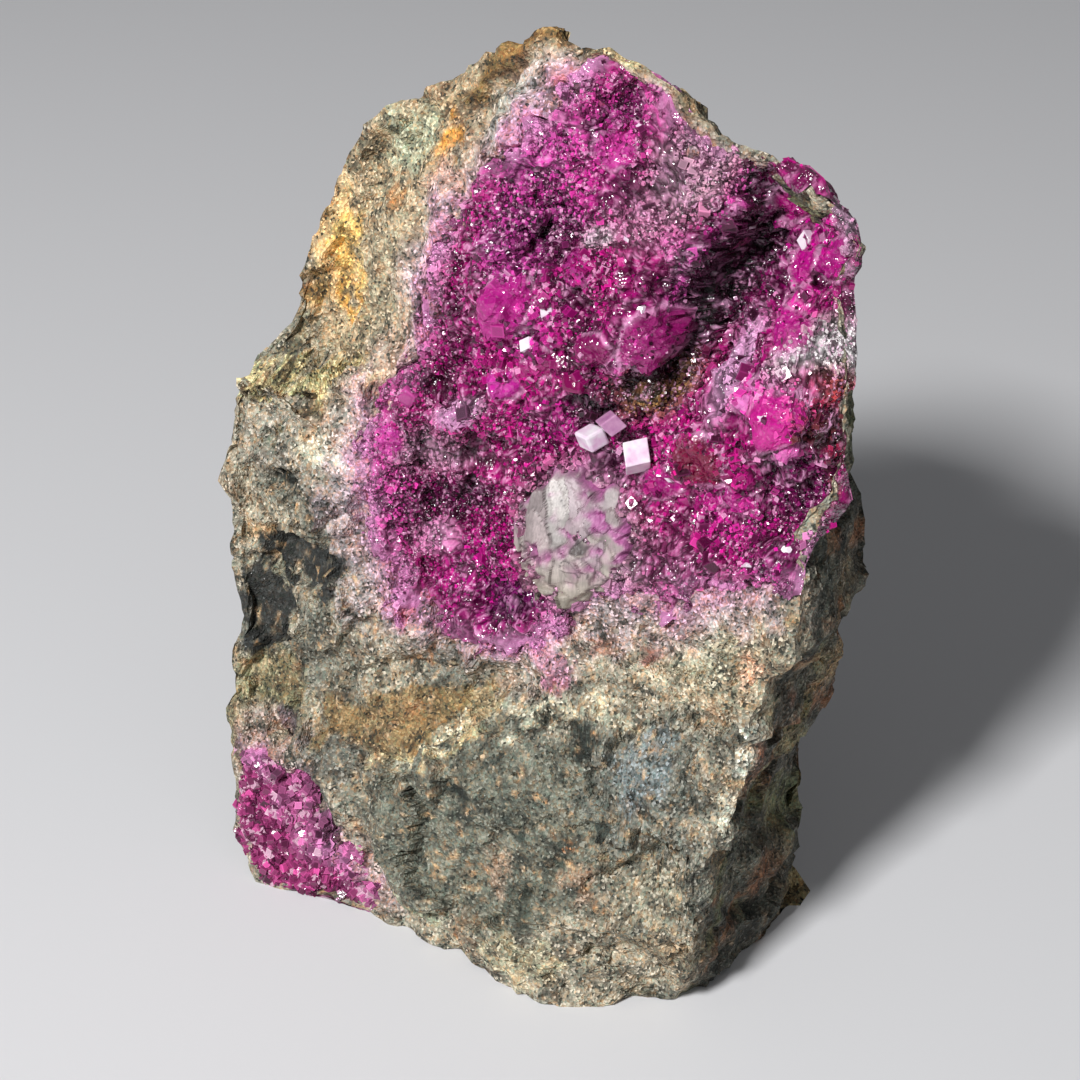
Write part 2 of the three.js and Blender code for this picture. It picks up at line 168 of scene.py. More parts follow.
slab = {
    # the part's origin in slab millimetres, the lean of the face in degrees, and the plane of the back
    "origin": (1.24, 12.41), "lean": 12, "backBase": 24.5, "backLean": 0.035, "backSwell": 2.2,
    # middle of the face, points round the rim, and rings over the face, the wall and the back
    "middle": (3, 38), "around": 420, "faceRings": 124, "wallRings": 38, "backRings": 30, "seed": 5,
    # rim of the face: x, z, recess and draw-in of the back
    "rim": [
        (-19.5, 0, -3, 1), (-22.8, 1.6, -1.8, 2), (-25, 5, 0.5, 4), (-27, 10.3, 1.3, 4), (-28, 16.3, 1, 4),
        (-28.3, 21, 0.5, 4), (-28.2, 23.7, 1, 4), (-29.7, 27.2, 1.5, 5), (-29.5, 31.1, 1, 5),
        (-31.3, 39.9, 1, 5), (-30.8, 43.7, 0.5, 5), (-30.2, 47.9, 0, 5), (-29.4, 49.6, 4, 4),
        (-27.6, 52.9, 4.5, 4), (-26.4, 56.7, 5, 4), (-24.6, 63.4, 5, 4), (-23, 67, 5, 4), (-19.8, 72.7, 5, 5),
        (-13.5, 77.2, 4.5, 6), (-6.2, 81.6, 4, 6), (-0.3, 85.2, 3, 6), (3.9, 84.7, 2, 6), (7.9, 84.3, 2, 6),
        (10.6, 83.6, 2, 7), (14.8, 80.8, 2.5, 7), (16.9, 79.3, 2.5, 8), (22, 78.3, 3.5, 9), (26, 77, 3, 10),
        (29.8, 75.7, 2, 9), (31.8, 73.6, 1.5, 9), (30.8, 70, 2, 10), (32.6, 65.8, 1, 10), (33.4, 62.8, 1, 10),
        (32.6, 60.4, 1.5, 10), (34.5, 52.6, 0.5, 9), (32.2, 48.6, 0, 4), (31.6, 44, 0, 1.5), (31.6, 38.4, 0, 1),
        (28.6, 33.1, -0.5, 0.5), (29.5, 27.6, -1.5, 1.5), (28.7, 20.9, -2, 2), (27.2, 16.5, -2, 1),
        (27.5, 9.3, -1.5, 0.5), (26.2, 4.5, 0, -0.5), (23.6, 0, 3, -6), (20, 0, -0.5, -2), (14.2, 0, -3.6, 0),
        (5, 0, -2.5, 0), (-3, 0, -1, 0), (-11, 0, -1.5, 0),
    ],
    # hollows and lumps: x, z, half-lengths along and across, turn, recess, softness
    "relief": [
        (22, 67.5, 3.8, 9, -14, 5, 0.3), (17.2, 59.8, 3.2, 3, 0, 2, 0.6), (7.6, 71.5, 11.6, 11, 0, -2.6, 0.25),
        (5, 59, 9, 7, 0, -1.2, 0.6), (8.9, 80.6, 1.6, 2.4, 0, 2.6, 0.7), (27.6, 71, 4.5, 6, 20, 1.6, 0.7),
        (25.8, 58.2, 5, 4.2, 0, -2.2, 0.6), (14.5, 50.5, 8, 4, -10, 1.6, 0.7),
        (-3.7, 39.5, 7, 8.5, 10, 2.4, 0.5), (9.9, 43, 6, 4.5, 0, -1, 0.7), (-26, 29.5, 6, 5.5, 0, 1.6, 0.4),
        (-9, 22, 19, 4.2, 18, 1.8, 0.35), (10.5, 14, 18.5, 12.5, 12, -3, 0.22),
        (-13.5, 6.6, 9, 1.8, -28, 2, 0.8), (-20.5, 3.2, 6.5, 5.5, -20, 1.2, 0.6),
    ],
    # bevel of the upper left: x and z of its middle, start, slope, greatest recess; ledge: two ends, width
    "bevel": (14, 58, 24, 0.38, 4.6), "ledge": (-31, 47.6, -11, 51.0, 1.2),
    # facets of the broken rock: size, height, seed, crispness
    "facets": [(13, 1.5, 11, 14), (5, 0.8, 31, 22)],
    "chips": [(3.0, 0.35, 47, 30), (1.2, 0.28, 59, 26), (0.55, 0.14, 71, 12)], "grit": (0.045, 77),
    # planes that broke the rock: x, z, reach, way that the plane falls back in degrees, its tilt, depth
    "cuts": [
        (-21.5, 31.5, 4.4, 60, 20, 0.6), (-26, 26.5, 4.2, 20, 14, 0.4), (-25.4, 37.9, 3.4, 200, 20, 0.6),
        (21.8, 14.4, 5.2, 95, 20, 0.5), (23.2, 7.8, 5, 230, 16, 0.6), (17.5, 5, 5, 260, 14, 0.5),
        (-8.5, 22, 8, 80, 12, 0.7), (3, 24.6, 5, 70, 14, 0.6), (-15, 9, 4, 140, 16, 0.6),
        (28, 27, 5, 0, 26, 0.8), (27, 17, 4.6, 350, 24, 0.7), (24, 34.5, 5, 300, 16, 0.6),
        (4, 12, 7, 250, 9, 0.5), (-13, 29, 6, 120, 12, 0.5), (12, 21, 6.5, 40, 8, 0.4),
        (-19, 56, 6, 180, 10, 0.6), (-14, 68, 6.5, 150, 12, 0.6), (-24, 45, 4, 90, 14, 0.5),
    ],
    "moreCuts": {"count": 130, "reach": (2.0, 6.5), "tilt": (5, 22), "depth": (0.15, 0.6), "seed": 29},
    "wallCuts": {"count": 90, "reach": (4.0, 11.0), "tilt": (6, 20), "depth": (0.3, 0.9)},
    # pits and chipped-out patches of the rock: x, z, half-lengths, turn, depth, softness
    "pits": [
        (-24.1, 39.3, 1.9, 1, 19, 1.7, 0.4), (-25.8, 43, 1.1, 0.7, 22, 0.9, 0.5),
        (-25.9, 48.4, 1.2, 0.7, 22, 0.9, 0.5), (-21.4, 47.9, 1.3, 0.8, 23, 0.8, 0.5),
        (-19.5, 47.4, 0.9, 0.6, 21, 0.6, 0.5), (-21.4, 15.4, 2, 0.6, 75, 1.1, 0.5),
        (-21.5, 31.3, 4.6, 2.4, 11, 1.1, 0.1), (-26, 25, 3.6, 3.3, 73, 0.4, 0.1),
        (13.5, 25.5, 1.4, 1, 27, 0.5, 0.5), (2.2, 16.7, 1.3, 1, 27, 0.5, 0.5),
        (8.3, 15.7, 1.1, 0.9, 33, 0.4, 0.5), (16.1, 17.9, 1.1, 0.8, 26, 0.4, 0.5),
        (13.7, 13.7, 1.1, 0.8, 26, 0.4, 0.5), (10.5, 9.7, 1.7, 1, 20, 0.5, 0.5),
        (-15.3, 7.6, 3, 2.4, 49, 0.6, 0.3), (-13.5, 13.6, 3, 1.7, 19, 0.5, 0.3),
        (18.9, 35, 2.8, 1, 16, 0.6, 0.5), (-1.9, 78.6, 1, 0.5, 32, 0.5, 0.5),
        (-4.9, 79.6, 5, 0.7, 42, 0.9, 0.4), (28, 31.5, 1.5, 1, 20, 0.5, 0.4),
    ],
    # broken edges: two ends, the drop on the right of the line and how far the drop fades over
    "steps": [
        (17.7, 14.1, 22.1, 18.5, 1.6, 5), (22.1, 18.5, 25.2, 16.6, 1.6, 4), (-27.4, 30.9, -22.8, 33.9, 0.8, 3),
        (-22.8, 33.9, -18.8, 35, 0.8, 3), (-15.7, 21.6, -8.1, 25.3, 0.8, 3.5), (-8.1, 25.3, 1.6, 25.9, 0.7, 3),
        (1.5, 22.3, -7.2, 16.2, 0.7, 2.5), (14.6, 27.9, 1.5, 22.5, 0.6, 2.5), (11, 7.7, 27, 9.6, 0.9, 4),
        (18.1, 35.9, 27.9, 36.9, 0.6, 3), (-11.7, 76.1, -16.3, 55.1, 0.5, 3), (9.9, 28.9, 17.8, 29.9, 0.5, 2),
        (-25.2, 28.6, -23, 26.7, 0.6, 2),
    ],
}

crust = {
    # outlines of the two crusts on the face
    "outline": [
        (6, 92), (10.8, 92), (13.4, 81.8), (16.4, 78.6), (18.5, 90), (30, 90), (42, 82), (44, 68), (44, 57),
        (42, 48.5), (36, 45), (30.8, 44.2), (25.7, 43.2), (22.5, 41.2), (17.9, 38.2), (13.3, 37.8), (8.6, 36),
        (7.1, 32), (3, 29.8), (-3.7, 29.5), (-9.4, 31), (-12.3, 34.8), (-14.2, 41.2), (-14.7, 45.9),
        (-13.4, 49.9), (-10.6, 52.2), (-9.6, 56.7), (-9.5, 63.2), (-7.3, 68.6), (-3.7, 73.8), (1.4, 79.5),
        (4.4, 84),
    ],
    "corner": [
        (-34, 11), (-27, 11), (-23, 11.2), (-19.2, 11), (-18.4, 8), (-16.4, 6), (-12.5, 4.6), (-8.5, 2.6),
        (-7, -1), (-7, -8), (-34, -8),
    ],
    "overEdge": -0.4, "bedDepth": 3.2, "shell": 1.6,
    "lumps": [(3.4, 0.9, 83, 14), (1.5, 0.55, 91, 14), (0.7, 0.25, 97, 9)],
    # intergrown crystals: height factor, size, seed
    "bigCrystals": (0.75, 2.6, 161), "smallCrystals": (0.8, 1.05, 171), "thinRings": (20, 64),
    # hollows of the crust: x, z, half-lengths, turn, depth, softness
    "hollows": [
        (4.6, 70.1, 2.9, 2.2, 20, 1.9, 0.4), (-5.8, 41.1, 4.8, 1.6, 17, 1.3, 0.5),
        (30, 52.8, 3.6, 3, 69, 1.5, 0.5), (14.7, 57.6, 3, 2.3, 26, 1.6, 0.4), (8.6, 54, 1.5, 1.4, 0, 1.6, 0.5),
        (9.3, 42.8, 5, 5.4, 15, 1, 0.4), (10.5, 55.9, 2.4, 1.1, 18, 1.2, 0.5),
        (2.8, 34.7, 3.7, 1.5, 18, 1, 0.5), (7.7, 64.5, 2.2, 1.8, 79, 1, 0.6),
        (-4.5, 56.6, 2.6, 2.4, 0, 0.9, 0.6), (8.8, 80.6, 1.6, 1.4, 50, 1.5, 0.5),
        (16.4, 64.6, 4.4, 1.8, 82, 2, 0.5), (21.2, 66, 2, 4, 0, 1, 0.6), (31.5, 59, 2.4, 1.4, 20, 0.9, 0.5),
    ],
    # overhanging lips: two ends, the drop on the right of the line and how far it fades over
    "lips": [
        (12.6, 58.8, 15.6, 63.5, 2.6, 4), (15.6, 63.5, 17.3, 68.9, 3.4, 4.5),
        (17.3, 68.9, 19.8, 72.5, 3.6, 4.5), (19.8, 72.5, 20.3, 77.3, 3, 4), (7.6, 72.4, 2.2, 71.6, 1.2, 3),
    ],
}


def faceRecess(x, z):
    # the bevel of the upper left, above the ledge, plus each feature's recess times its share
    bx, bz, start, slope, deepest = slab["bevel"]
    x0, z0, x1, z1, width = slab["ledge"]
    fallsBack = np.clip((np.hypot(x - bx, z - bz) - start) * slope, 0, deepest)
    recess = fallsBack * smooth(z - (z0 + (x - x0) * (z1 - z0) / (x1 - x0)), 0, width)
    for feature in slab["relief"]:
        recess = recess + feature[5] * featureShare(x, z, feature)
    return recess


def faceY(x, z):
    return z * np.tan(np.radians(slab["lean"])) + faceRecess(x, z)


def evenRim(count):
    # the rim's points again, evenly spaced along its length
    closed = np.array(slab["rim"] + slab["rim"][:1], float)
    length = np.concatenate([[0], np.cumsum(np.linalg.norm(np.diff(closed[:, :3], axis=0), axis=1))])
    along = length[-1] * np.arange(count) / count
    return [np.interp(along, length, closed[:, n]) for n in range(4)]


def rockRows():
    # lofted from the middle of the face to its rim with r^0.8, over the wall and in to the middle of the
    # back; the rim's own recess comes in with r^6, and the wall swells by 0.8 sin(pi s)
    rimX, rimZ, rimRecess, drawIn = evenRim(slab["around"])
    mx, mz = slab["middle"]
    r = ((np.arange(slab["faceRings"]) + 1) / slab["faceRings"])[:, None] ** 0.8
    x, z = mx + (rimX - mx) * r, mz + (rimZ - mz) * r
    face = np.stack([x, faceY(x, z) + (rimRecess - faceRecess(rimX, rimZ)) * r ** 6, z], -1)
    reach = np.hypot(rimX - mx, rimZ - mz)
    backX = rimX - (rimX - mx) / reach * drawIn
    backZ = np.where(rimZ > 0, rimZ - (rimZ - mz) / reach * drawIn, 0)
    back = np.stack([backX, slab["backBase"] + backZ * slab["backLean"], backZ], -1)
    share = ((np.arange(slab["wallRings"]) + 1) / slab["wallRings"])[:, None, None]
    away = np.stack([(rimX - mx) / reach, 0 * reach, (rimZ - mz) / reach], -1)
    swell = 0.8 * np.sin(np.pi * share) * (rimZ > 0)[None, :, None]
    wall = face[-1] + (back - face[-1]) * share + away * swell
    r = (1 - np.arange(1, slab["backRings"]) / slab["backRings"])[:, None]
    x, z = mx + (backX - mx) * r, mz + (backZ - mz) * r
    rear = np.stack([x, slab["backBase"] + z * slab["backLean"] + slab["backSwell"] * (1 - r * r), z], -1)
    first = np.array([mx, faceY(np.float64(mx), np.float64(mz)), mz])
    last = np.array([mx, slab["backBase"] + mz * slab["backLean"] + slab["backSwell"], mz])
    return np.concatenate([face, wall, rear]), first, last


def gridNormals(rows, first, last):
    # cross product of the steps along the two ways of the grid, turned outwards
    around = (np.roll(rows, -1, 1) - np.roll(rows, 1, 1)) / 2
    ends = [np.broadcast_to(end, rows[:1].shape) for end in (first, last)]
    longer = np.concatenate([ends[0], rows, ends[1]])
    down = (longer[2:] - longer[:-2]) / 2
    normal = np.cross(around, down)
    normal *= -np.sign(normal[: slab["faceRings"], :, 1].mean())
    return unit(normal), around, down


def pitDepth(x, z, pits):
    return functools.reduce(np.maximum, [pit[5] * featureShare(x, z, pit) for pit in pits], np.zeros_like(x))


def stepDepth(x, z, steps):
    # drop * exp(-d / fade) on the right of each line, with d the distance from it
    depth = np.zeros_like(x)
    for ax, az, bx, bz, drop, fade in steps:
        length = np.hypot(bx - ax, bz - az)
        along = ((x - ax) * (bx - ax) + (z - az) * (bz - az)) / length
        right = ((x - ax) * (bz - az) - (z - az) * (bx - ax)) / length
        window = smooth(along, -0.8, 0.3) * (1 - smooth(along, length - 0.3, length + 0.8))
        depth = np.maximum(depth, drop * window * smooth(right, -0.1, 0.25) * np.exp(-np.maximum(right, 0) / fade))
    return depth


def gridTriangles(rowCount, columnCount, random):
    # a fan round the first pole, then every square split along one of its diagonals
    numbers = np.arange(rowCount * columnCount).reshape(rowCount, columnCount)
    beside = np.roll(numbers, -1, 1)
    squares = np.stack([numbers[:-1], beside[:-1], beside[1:], numbers[1:]], -1).reshape(-1, 4)
    other = random.random(len(squares))[:, None] < 0.5
    pairs = np.where(other, squares[:, [0, 1, 2, 0, 2, 3]], squares[:, [0, 1, 3, 1, 2, 3]]).reshape(-1, 3)
    fan = np.stack([np.full(columnCount, rowCount * columnCount), beside[0], numbers[0]], -1)
    return np.concatenate([fan, pairs])


def faceNormals(points, faces):
    cross = np.cross(points[faces[:, 1]] - points[faces[:, 0]], points[faces[:, 2]] - points[faces[:, 0]])
    area = np.linalg.norm(cross, axis=1)
    return cross / np.maximum(area, 1e-12)[:, None], area / 2


rows, firstPole, lastPole = rockRows()
normals, around, down = gridNormals(rows, firstPole, lastPole)
rng = np.random.default_rng(slab["seed"])
# the grid's points are jittered, less where its columns run together
calmed = np.clip(np.linalg.norm(around, axis=-1) / 0.35, 0, 1)[..., None] ** 2
rows = rows + around * rng.uniform(-0.35, 0.35, rows.shape[:2])[..., None]
rows = rows + down * calmed * rng.uniform(-0.35, 0.35, rows.shape[:2])[..., None]
ringCount, aroundCount = rows.shape[:2]
onFace = np.broadcast_to((np.arange(ringCount) < slab["faceRings"])[:, None], (ringCount, aroundCount))
wallLength = np.linalg.norm(rows - rows[slab["faceRings"] - 1], axis=-1)

# one list of points: the grid, then the two poles; toRim is positive on the face, negative on the wall
surface = np.concatenate([rows.reshape(-1, 3), [firstPole], [lastPole]])
outward = np.concatenate([normals.reshape(-1, 3), [[0, -1, 0]], [[0, 1, 0]]])
toRim = np.append(np.where(onFace, wallLength, -wallLength).ravel(), [30, -60])
onWall = np.append(smooth(np.where(onFace, 0, wallLength), 0.3, 4.0).ravel(), [0, 1])
facing = 1 - onWall
broken = facetSum(surface, slab["facets"])
chips = facetSum(surface, slab["chips"])
warp = np.stack([facets(surface, 2.6, 101) * 1.6 + facets(surface, 0.8, 103) * 0.9,
                 facets(surface, 2.6, 102) * 1.6 + facets(surface, 0.8, 104) * 0.9], -1)
placeX, placeZ = surface[:, 0], surface[:, 2]
warpX, warpZ = placeX + warp[:, 0], placeZ + warp[:, 1]
dents = pitDepth(placeX + warp[:, 0] * 0.3, placeZ + warp[:, 1] * 0.3, slab["pits"])
dents = (dents + stepDepth(placeX, placeZ, slab["steps"])) * facing
print("slab surface worked out:", len(surface), "points")

hollows = pitDepth(placeX + warp[:, 0] * 0.4, placeZ + warp[:, 1] * 0.4, crust["hollows"])
hollows = (hollows + stepDepth(placeX + warp[:, 0] * 0.3, placeZ, crust["lips"])) * facing
hollows = np.minimum(hollows, 0.36 * np.maximum(toRim, 0))
# the way that crusts and hollows sink: square to the face plane, and square to the wall on the wall
lean = np.radians(slab["lean"])
inward = unit(np.array([0, np.cos(lean), -np.sin(lean)]) * facing[:, None] - outward * onWall[:, None])

# how far inside each crust's ragged edge a point lies, in millimetres
withinRim = crust["overEdge"] + toRim + warp[:, 0] * 0.4
vugInside = np.minimum(insideDistance(warpX, warpZ, crust["outline"]), withinRim)
cornerInside = np.minimum(insideDistance(warpX, warpZ, crust["corner"]), withinRim)
anyInside = np.maximum(vugInside, cornerInside)
under = smooth(anyInside, -0.1, 1.4)

plain = surface + outward * broken[:, None]
ragged = 1 + 0.35 * facets(surface, 2.2, 131)


def cutPlanes(points):
    # points in reach of a cut and in front of its plane drop onto it: p - n * max(0, (p - c) . n)
    more, wall = slab["moreCuts"], slab["wallCuts"]
    random = np.random.default_rng(more["seed"])
    cuts = [(np.argmin(np.hypot(placeX - x, placeZ - z) + onWall * 99), *rest) for x, z, *rest in slab["cuts"]]
    spots = [(nearest, more) for nearest in random.choice(len(points) - 2, more["count"])]
    spots += [(nearest, wall) for nearest in random.choice(np.nonzero(onWall > 0.9)[0], wall["count"])]
    for nearest, kind in spots:
        cuts.append((nearest, random.uniform(*kind["reach"]), random.uniform(0, 360),
                     random.uniform(*kind["tilt"]), random.uniform(*kind["depth"])))
    cut = points.copy()
    for nearest, reach, way, tilt, depth in cuts:
        out = outward[nearest]
        side = np.cross([0.0, 0.0, 1.0], out)
        side /= max(np.linalg.norm(side), 1e-6)
        fall = side * np.cos(np.radians(way)) + np.cross(out, side) * np.sin(np.radians(way))
        square = out * np.cos(np.radians(tilt)) + fall * np.sin(np.radians(tilt))
        near = np.linalg.norm(points - points[nearest], axis=1) < reach * ragged
        ahead = np.maximum((cut - (points[nearest] - out * depth)) @ square, 0) * near
        cut -= square * ahead[:, None]
    return cut


# cuts only take rock away, and leave the foot of the slab alone
cutDepth = np.clip(((cutPlanes(plain) - plain) * outward).sum(1), -1.6, 0) * (1 - under)
cutDepth *= smooth(surface[:, 2], 0.2, 4.0)
gritSize, gritSeed = slab["grit"]
grit = np.random.default_rng(gritSeed).normal(0, gritSize, len(surface)) * np.append(calmed.ravel(), [0, 0])
rockPoints = plain + outward * (cutDepth + (chips + grit) * (1 - under) - dents)[:, None]
sunk = (np.minimum(crust["bedDepth"], 0.6 + 0.3 * np.maximum(toRim, 0)) + hollows) * under
rockPoints += inward * sunk[:, None]
# a face point stays a millimetre in front of the back, and the foot stays flat
backY = slab["backBase"] + surface[:, 2] * slab["backLean"]
rockPoints[:, 1] = np.where(toRim > 0, np.minimum(rockPoints[:, 1], backY - 1), rockPoints[:, 1])
highest = np.where((surface[:, 2] < 0.05) & (onWall > 0.5), 0.25, 1e3)
rockPoints[:, 2] = np.clip(rockPoints[:, 2], 0, highest)
lastRing = np.arange((ringCount - 1) * aroundCount, ringCount * aroundCount)
lastFan = np.stack([np.full(aroundCount, len(surface) - 1), lastRing, np.roll(lastRing, -1)], -1)
rockFaces = np.concatenate([gridTriangles(ringCount, aroundCount, rng), lastFan])
flat, area = faceNormals(rockPoints, rockFaces)
if (flat[:, 1] * area)[: aroundCount * 100].sum() > 0:
    rockFaces = rockFaces[:, ::-1]


rockColours = {
    # two tones and a cream of the face and of the wall; the wall's darker tones are partly its own colour
    # and partly painted shade
    "face": ("#a39b8c", "#7e7c72", "#c0b6a4"), "wall": ("#4e4e48", "#383a34", "#6a675e"),
    # coloured patches of the face: x, z, half-lengths, turn, colour, strength, softness
    "patches": [
        (-15, 63, 10, 15, -20, "#c8b292", 0.75, 0.5), (-23.5, 62, 3, 7, 14, "#dcb884", 0.8, 0.5),
        (-11, 76.5, 9, 4, 38, "#b8a284", 0.7, 0.5), (24, 36, 8, 4.5, 10, "#c8baa2", 0.7, 0.5),
        (5, 15, 14, 10, 15, "#6c6e64", 0.9, 0.4), (-21, 43, 9, 4, 10, "#aaa298", 0.6, 0.5),
        (10, 33.5, 8, 3, 14, "#b8ac9a", 0.6, 0.5), (20.5, 22, 6, 6, 0, "#70726c", 0.8, 0.5),
        (-15, 35.7, 9.1, 2.8, -83, "#a89aa0", 0.6, 0.7), (-10.2, 62.8, 8.1, 1.7, 88, "#a898a4", 0.5, 0.7),
        (24.5, 40.5, 6.4, 2.4, 13, "#b8a6aa", 0.6, 0.7), (13.3, 36.8, 4.3, 2.9, 22, "#c4b0b8", 0.6, 0.7),
        (-21.7, 49.3, 8.8, 1.1, 13, "#d8cc98", 0.85, 0.5), (-25.9, 48.7, 1, 0.6, 22, "#4a3a24", 0.85, 0.4),
        (-21.4, 48.1, 1.2, 0.8, 23, "#4a3a24", 0.85, 0.4), (-19.5, 47.6, 0.9, 0.5, 21, "#5a4a2c", 0.8, 0.4),
        (-18.4, 44.7, 3.2, 2, 21, "#e0dcc8", 0.6, 0.6), (-24.1, 39.3, 1.7, 0.9, 19, "#1a201c", 0.95, 0.3),
        (-25.8, 43, 1, 0.6, 22, "#4a5844", 0.8, 0.4), (-25.9, 33.1, 1.5, 1.1, 24, "#b08858", 0.7, 0.6),
        (-21.5, 31.3, 5, 2.5, 11, "#1e2224", 0.95, 0.14), (-26, 25.6, 4.2, 3.4, 73, "#202426", 0.95, 0.14),
        (-25.5, 28.2, 2.4, 0.3, -34, "#a8a490", 0.8, 0.4), (-24.6, 15.3, 5.8, 4.4, 86, "#8a8258", 0.6, 0.6),
        (-21.4, 15.2, 1.8, 0.5, 75, "#24221c", 0.9, 0.4), (-25.4, 11.8, 0.8, 0.6, 87, "#34352c", 0.85, 0.5),
        (-8, 19.3, 10.8, 2.5, 20, "#8f7650", 0.9, 0.35), (-4, 18.7, 7.2, 0.6, 27, "#d8cca4", 0.7, 0.5),
        (-13.5, 13.6, 3, 1.7, 19, "#7e7c74", 0.85, 0.4), (-5.7, 26.6, 2.8, 0.3, 19, "#a0703c", 0.8, 0.6),
        (-15.3, 7.6, 2.8, 2.4, 49, "#36463c", 0.9, 0.35), (-11, 4.4, 3.3, 1.1, -16, "#b8bc9c", 0.7, 0.5),
        (-2.9, 3.6, 3.9, 1.4, -11, "#aeb296", 0.6, 0.5), (-2.6, 19.9, 5.7, 0.9, 42, "#dcd6c0", 0.75, 0.5),
        (7.6, 25.8, 5.4, 0.7, 19, "#dcd6c0", 0.65, 0.5), (14.8, 27.5, 3.1, 0.7, 5, "#d6d0ba", 0.55, 0.5),
        (13.5, 25.5, 1.3, 1, 27, "#2a322e", 0.9, 0.45), (2.2, 16.7, 1.3, 1, 27, "#262e2a", 0.9, 0.45),
        (0.7, 17.2, 0.8, 0.6, 33, "#2a322e", 0.8, 0.45), (8.3, 15.7, 1.1, 0.9, 33, "#2a322e", 0.85, 0.5),
        (16.1, 17.9, 1.1, 0.8, 26, "#2a322e", 0.85, 0.5), (13.7, 13.7, 1.1, 0.8, 26, "#30382f", 0.8, 0.5),
        (10.5, 9.7, 1.7, 1, 20, "#2e362e", 0.8, 0.5), (20.4, 22.2, 1.1, 0.9, 79, "#343c3a", 0.7, 0.5),
        (13.5, 15.3, 0.6, 0.4, 19, "#b0703c", 0.8, 0.5), (7, 10.7, 1.9, 1.3, -89, "#b09480", 0.55, 0.6),
        (15.9, 12.7, 1.5, 1.2, 79, "#b09480", 0.5, 0.6), (19.8, 24.8, 3, 2.5, 79, "#86929a", 0.55, 0.6),
        (18.9, 35, 2.8, 0.9, 16, "#7a4020", 0.9, 0.45), (13, 34.1, 0.9, 0.5, 21, "#8a5a34", 0.7, 0.5),
        (28.4, 35.6, 1.5, 0.9, 20, "#d8a890", 0.65, 0.6), (28.9, 28.4, 3.1, 0.6, -83, "#ece8da", 0.85, 0.45),
        (28.3, 23, 2, 1.2, 70, "#e4e0d0", 0.75, 0.5), (22.9, 13.5, 3.7, 3.2, 61, "#a09a88", 0.6, 0.35),
        (9.1, 30.1, 2, 1.8, 48, "#c8609a", 0.65, 0.6), (11.4, 37.4, 1.2, 1, 63, "#d078ac", 0.6, 0.6),
        (-4.4, 81.5, 7.2, 1.2, 40, "#8a6a3a", 0.9, 0.4), (2.2, 84.8, 2.3, 0.8, 8, "#6a4c26", 0.85, 0.4),
        (-4.7, 79.9, 4.8, 0.6, 42, "#463218", 0.8, 0.4), (4.8, 83.5, 2.8, 1.2, 25, "#d8c898", 0.75, 0.5),
        (-0.2, 79.3, 4.6, 2.2, 36, "#c8cabc", 0.65, 0.5), (-1.9, 78.4, 0.9, 0.4, 32, "#39473b", 0.8, 0.5),
        (-15.1, 72.7, 3.9, 2.5, 41, "#aeb6a0", 0.7, 0.5), (-9.2, 74.6, 1.6, 1.2, 25, "#d89830", 0.85, 0.5),
        (-10.3, 72.3, 1.2, 1, 63, "#c89040", 0.6, 0.5), (-8.8, 70.9, 1.7, 1.4, 28, "#dea878", 0.65, 0.6),
        (-15.8, 67.9, 1, 0.9, 48, "#d08838", 0.8, 0.5), (-21.7, 61.5, 3.5, 1.4, -84, "#e8c070", 0.8, 0.5),
        (-21.2, 55.9, 1.7, 1, -86, "#d8a040", 0.8, 0.5), (-25.2, 55.4, 1.8, 1.4, 33, "#b89048", 0.7, 0.5),
        (-26.3, 50.9, 2.2, 1.3, 32, "#6a6240", 0.6, 0.5), (-16.7, 60.6, 8, 3.6, 90, "#a8a08c", 0.5, 0.5),
        (2.9, 28.6, 4.3, 1.8, 17, "#c0bcae", 0.5, 0.6), (0.1, 23.8, 3.7, 1.1, 20, "#a08a60", 0.6, 0.5),
        (11.6, 3.9, 4.7, 2.4, 6, "#c8c0a0", 0.45, 0.5), (22.6, 36, 4.3, 2.6, 20, "#b4b4a0", 0.5, 0.6),
        (25.7, 42.7, 3.2, 1.3, 17, "#bca8ac", 0.5, 0.6), (24, 7.3, 3.2, 1.8, 19, "#a08c70", 0.45, 0.6),
    ],
    # coloured patches of the wall: x, y, z, radius, height, colour, strength
    "wallPatches": [
        (26.9, 18.6, 14.9, 2.6, 3.4, "#8a8c66", 0.7), (29.6, 7.3, 28.1, 1.2, 1.5, "#9a5434", 0.85),
        (30.1, 12.3, 31.5, 1, 1, "#9a6040", 0.6), (29.9, 8.7, 32.2, 1.9, 2.4, "#38382f", 0.85),
        (30.2, 15.3, 31.2, 1.8, 2.9, "#7c7c6c", 0.6), (32.2, 15, 42.8, 2.8, 5, "#72766a", 0.7),
        (27.8, 10.7, 12.6, 4.1, 3.4, "#a8a898", 0.55), (28.8, 17.3, 8.1, 2.2, 3.6, "#55554c", 0.6),
    ],
    # broad stains: colour, size of the patches, seed, where they begin and are full, strength
    "rust": ("#8a5c3c", 4, 211, 0.22, 0.4, 0.7), "green": ("#767a58", 5, 217, 0.15, 0.4, 0.6),
    "tan": ("#a08c66", 9, 223, 0.05, 0.35, 0.7),
    # pink that soaked into the rock: far from a crust, beside it and under it
    "soaked": ("#d0b4c4", "#c070a4", "#8c2468"),
}


def blend(colour, other, share):
    return colour + (linear(other) - colour) * share[:, None]


def patchyAt(points):
    # the patches, 4.5 mm across, in which the crusts' edges pale and the rock beside them is stained
    return smooth(facets(points, 4.5, 241), -0.35, 0.3)


